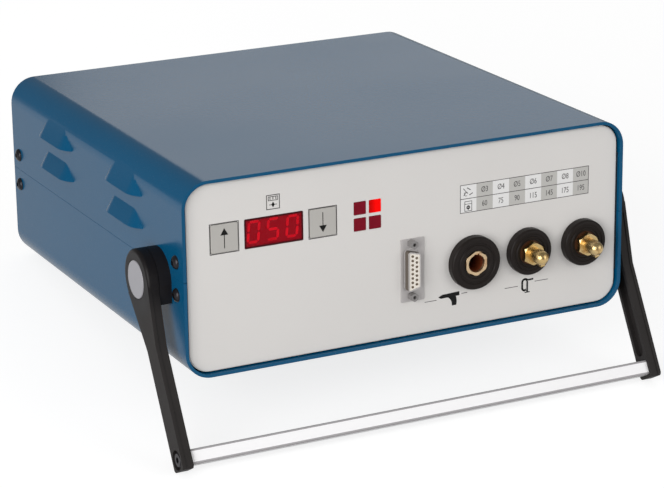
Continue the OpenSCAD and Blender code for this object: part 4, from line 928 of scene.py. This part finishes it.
def floorSheet():
    sheet = Sheet("floorWhite")
    ray = sheet.tree.nodes.new("ShaderNodeLightPath")
    words = ("Is Camera Ray", "Is Glossy Ray", "Is Transmission Ray")
    eye, gloss, through = [Wire(sheet, ray.outputs[key]) for key in words]
    away = sheet.node("ShaderNodeVectorMath", {"operation": "LENGTH"}, {0: sheet.place}, out="Value")
    fade = sheet.ramp(away, studio["far"], studio["near"])
    seen = (eye.larger(through) * studio["floorGlow"]).larger(gloss * fade * studio["floorGloss"])
    tint = sheet.mix(sheet.noise(3.0, 2.0), studio["floorColour"], shade(studio["floorColour"], 1.02))
    diffuse = sheet.node("ShaderNodeBsdfDiffuse", {}, {"Color": tint})
    glow = sheet.node("ShaderNodeEmission", {}, {"Color": (1, 1, 1, 1), "Strength": seen})
    sheet.finish(sheet.node("ShaderNodeAddShader", {}, {0: diffuse, 1: glow}))
    return sheet.material


def makeFloor():
    mesh = bpy.data.meshes.new("floor")
    s = studio["floorHalf"]
    mesh.from_pydata([(-s, -s, 0), (s, -s, 0), (s, s, 0), (-s, s, 0)], [], [(0, 1, 2, 3)])
    mesh.materials.append(floorSheet())
    linked("floor", mesh)


# White to the eye, softer in reflections and as light
def makeWorld():
    world = bpy.data.worlds.new("studio")
    bpy.context.scene.world = world
    world.use_nodes = True
    tree = world.node_tree
    tree.nodes.clear()
    ray = tree.nodes.new("ShaderNodeLightPath")
    strength = None
    levels = {"Is Camera Ray": "skySeen", "Is Transmission Ray": "skySeen", "Is Glossy Ray": "skyGloss"}
    for key, level in levels.items():
        step = tree.nodes.new("ShaderNodeMix")
        step.data_type = "FLOAT"
        step.inputs[2].default_value = studio["sky"]
        step.inputs[3].default_value = studio[level]
        tree.links.new(ray.outputs[key], step.inputs[0])
        if strength:
            tree.links.new(strength, step.inputs[2])
        strength = step.outputs[0]
    back = tree.nodes.new("ShaderNodeBackground")
    back.inputs["Color"].default_value = (1, 1, 1, 1)
    tree.links.new(strength, back.inputs["Strength"])
    output = tree.nodes.new("ShaderNodeOutputWorld")
    tree.links.new(back.outputs[0], output.inputs["Surface"])


lamps = {
    "key": {"place": (-2.0, -1.35, 0.9), "aim": (0, 0, 0.08), "size": 1.8, "watts": 48.0},
    "fill": {"place": (1.4, -1.9, 0.9), "aim": (0, 0, 0.08), "size": 1.6, "watts": 12.6},
    "back": {"place": (1.25, 2.2, 0.75), "aim": (0, 0, 0.1), "size": 1.3, "watts": 3.8},
}


def makeLamps():
    for name, look in lamps.items():
        data = bpy.data.lights.new(name, "AREA")
        data.shape, data.size, data.energy = "SQUARE", look["size"], look["watts"]
        thing = linked(name, data)
        place, aim = Vector(look["place"]), Vector(look["aim"])
        thing.location = place
        thing.rotation_euler = (aim - place).to_track_quat("-Z", "Y").to_euler()
        thing.visible_camera = False


makeFloor()
makeWorld()
makeLamps()
bpy.context.scene.view_settings.view_transform = "Standard"
print("studio ready")
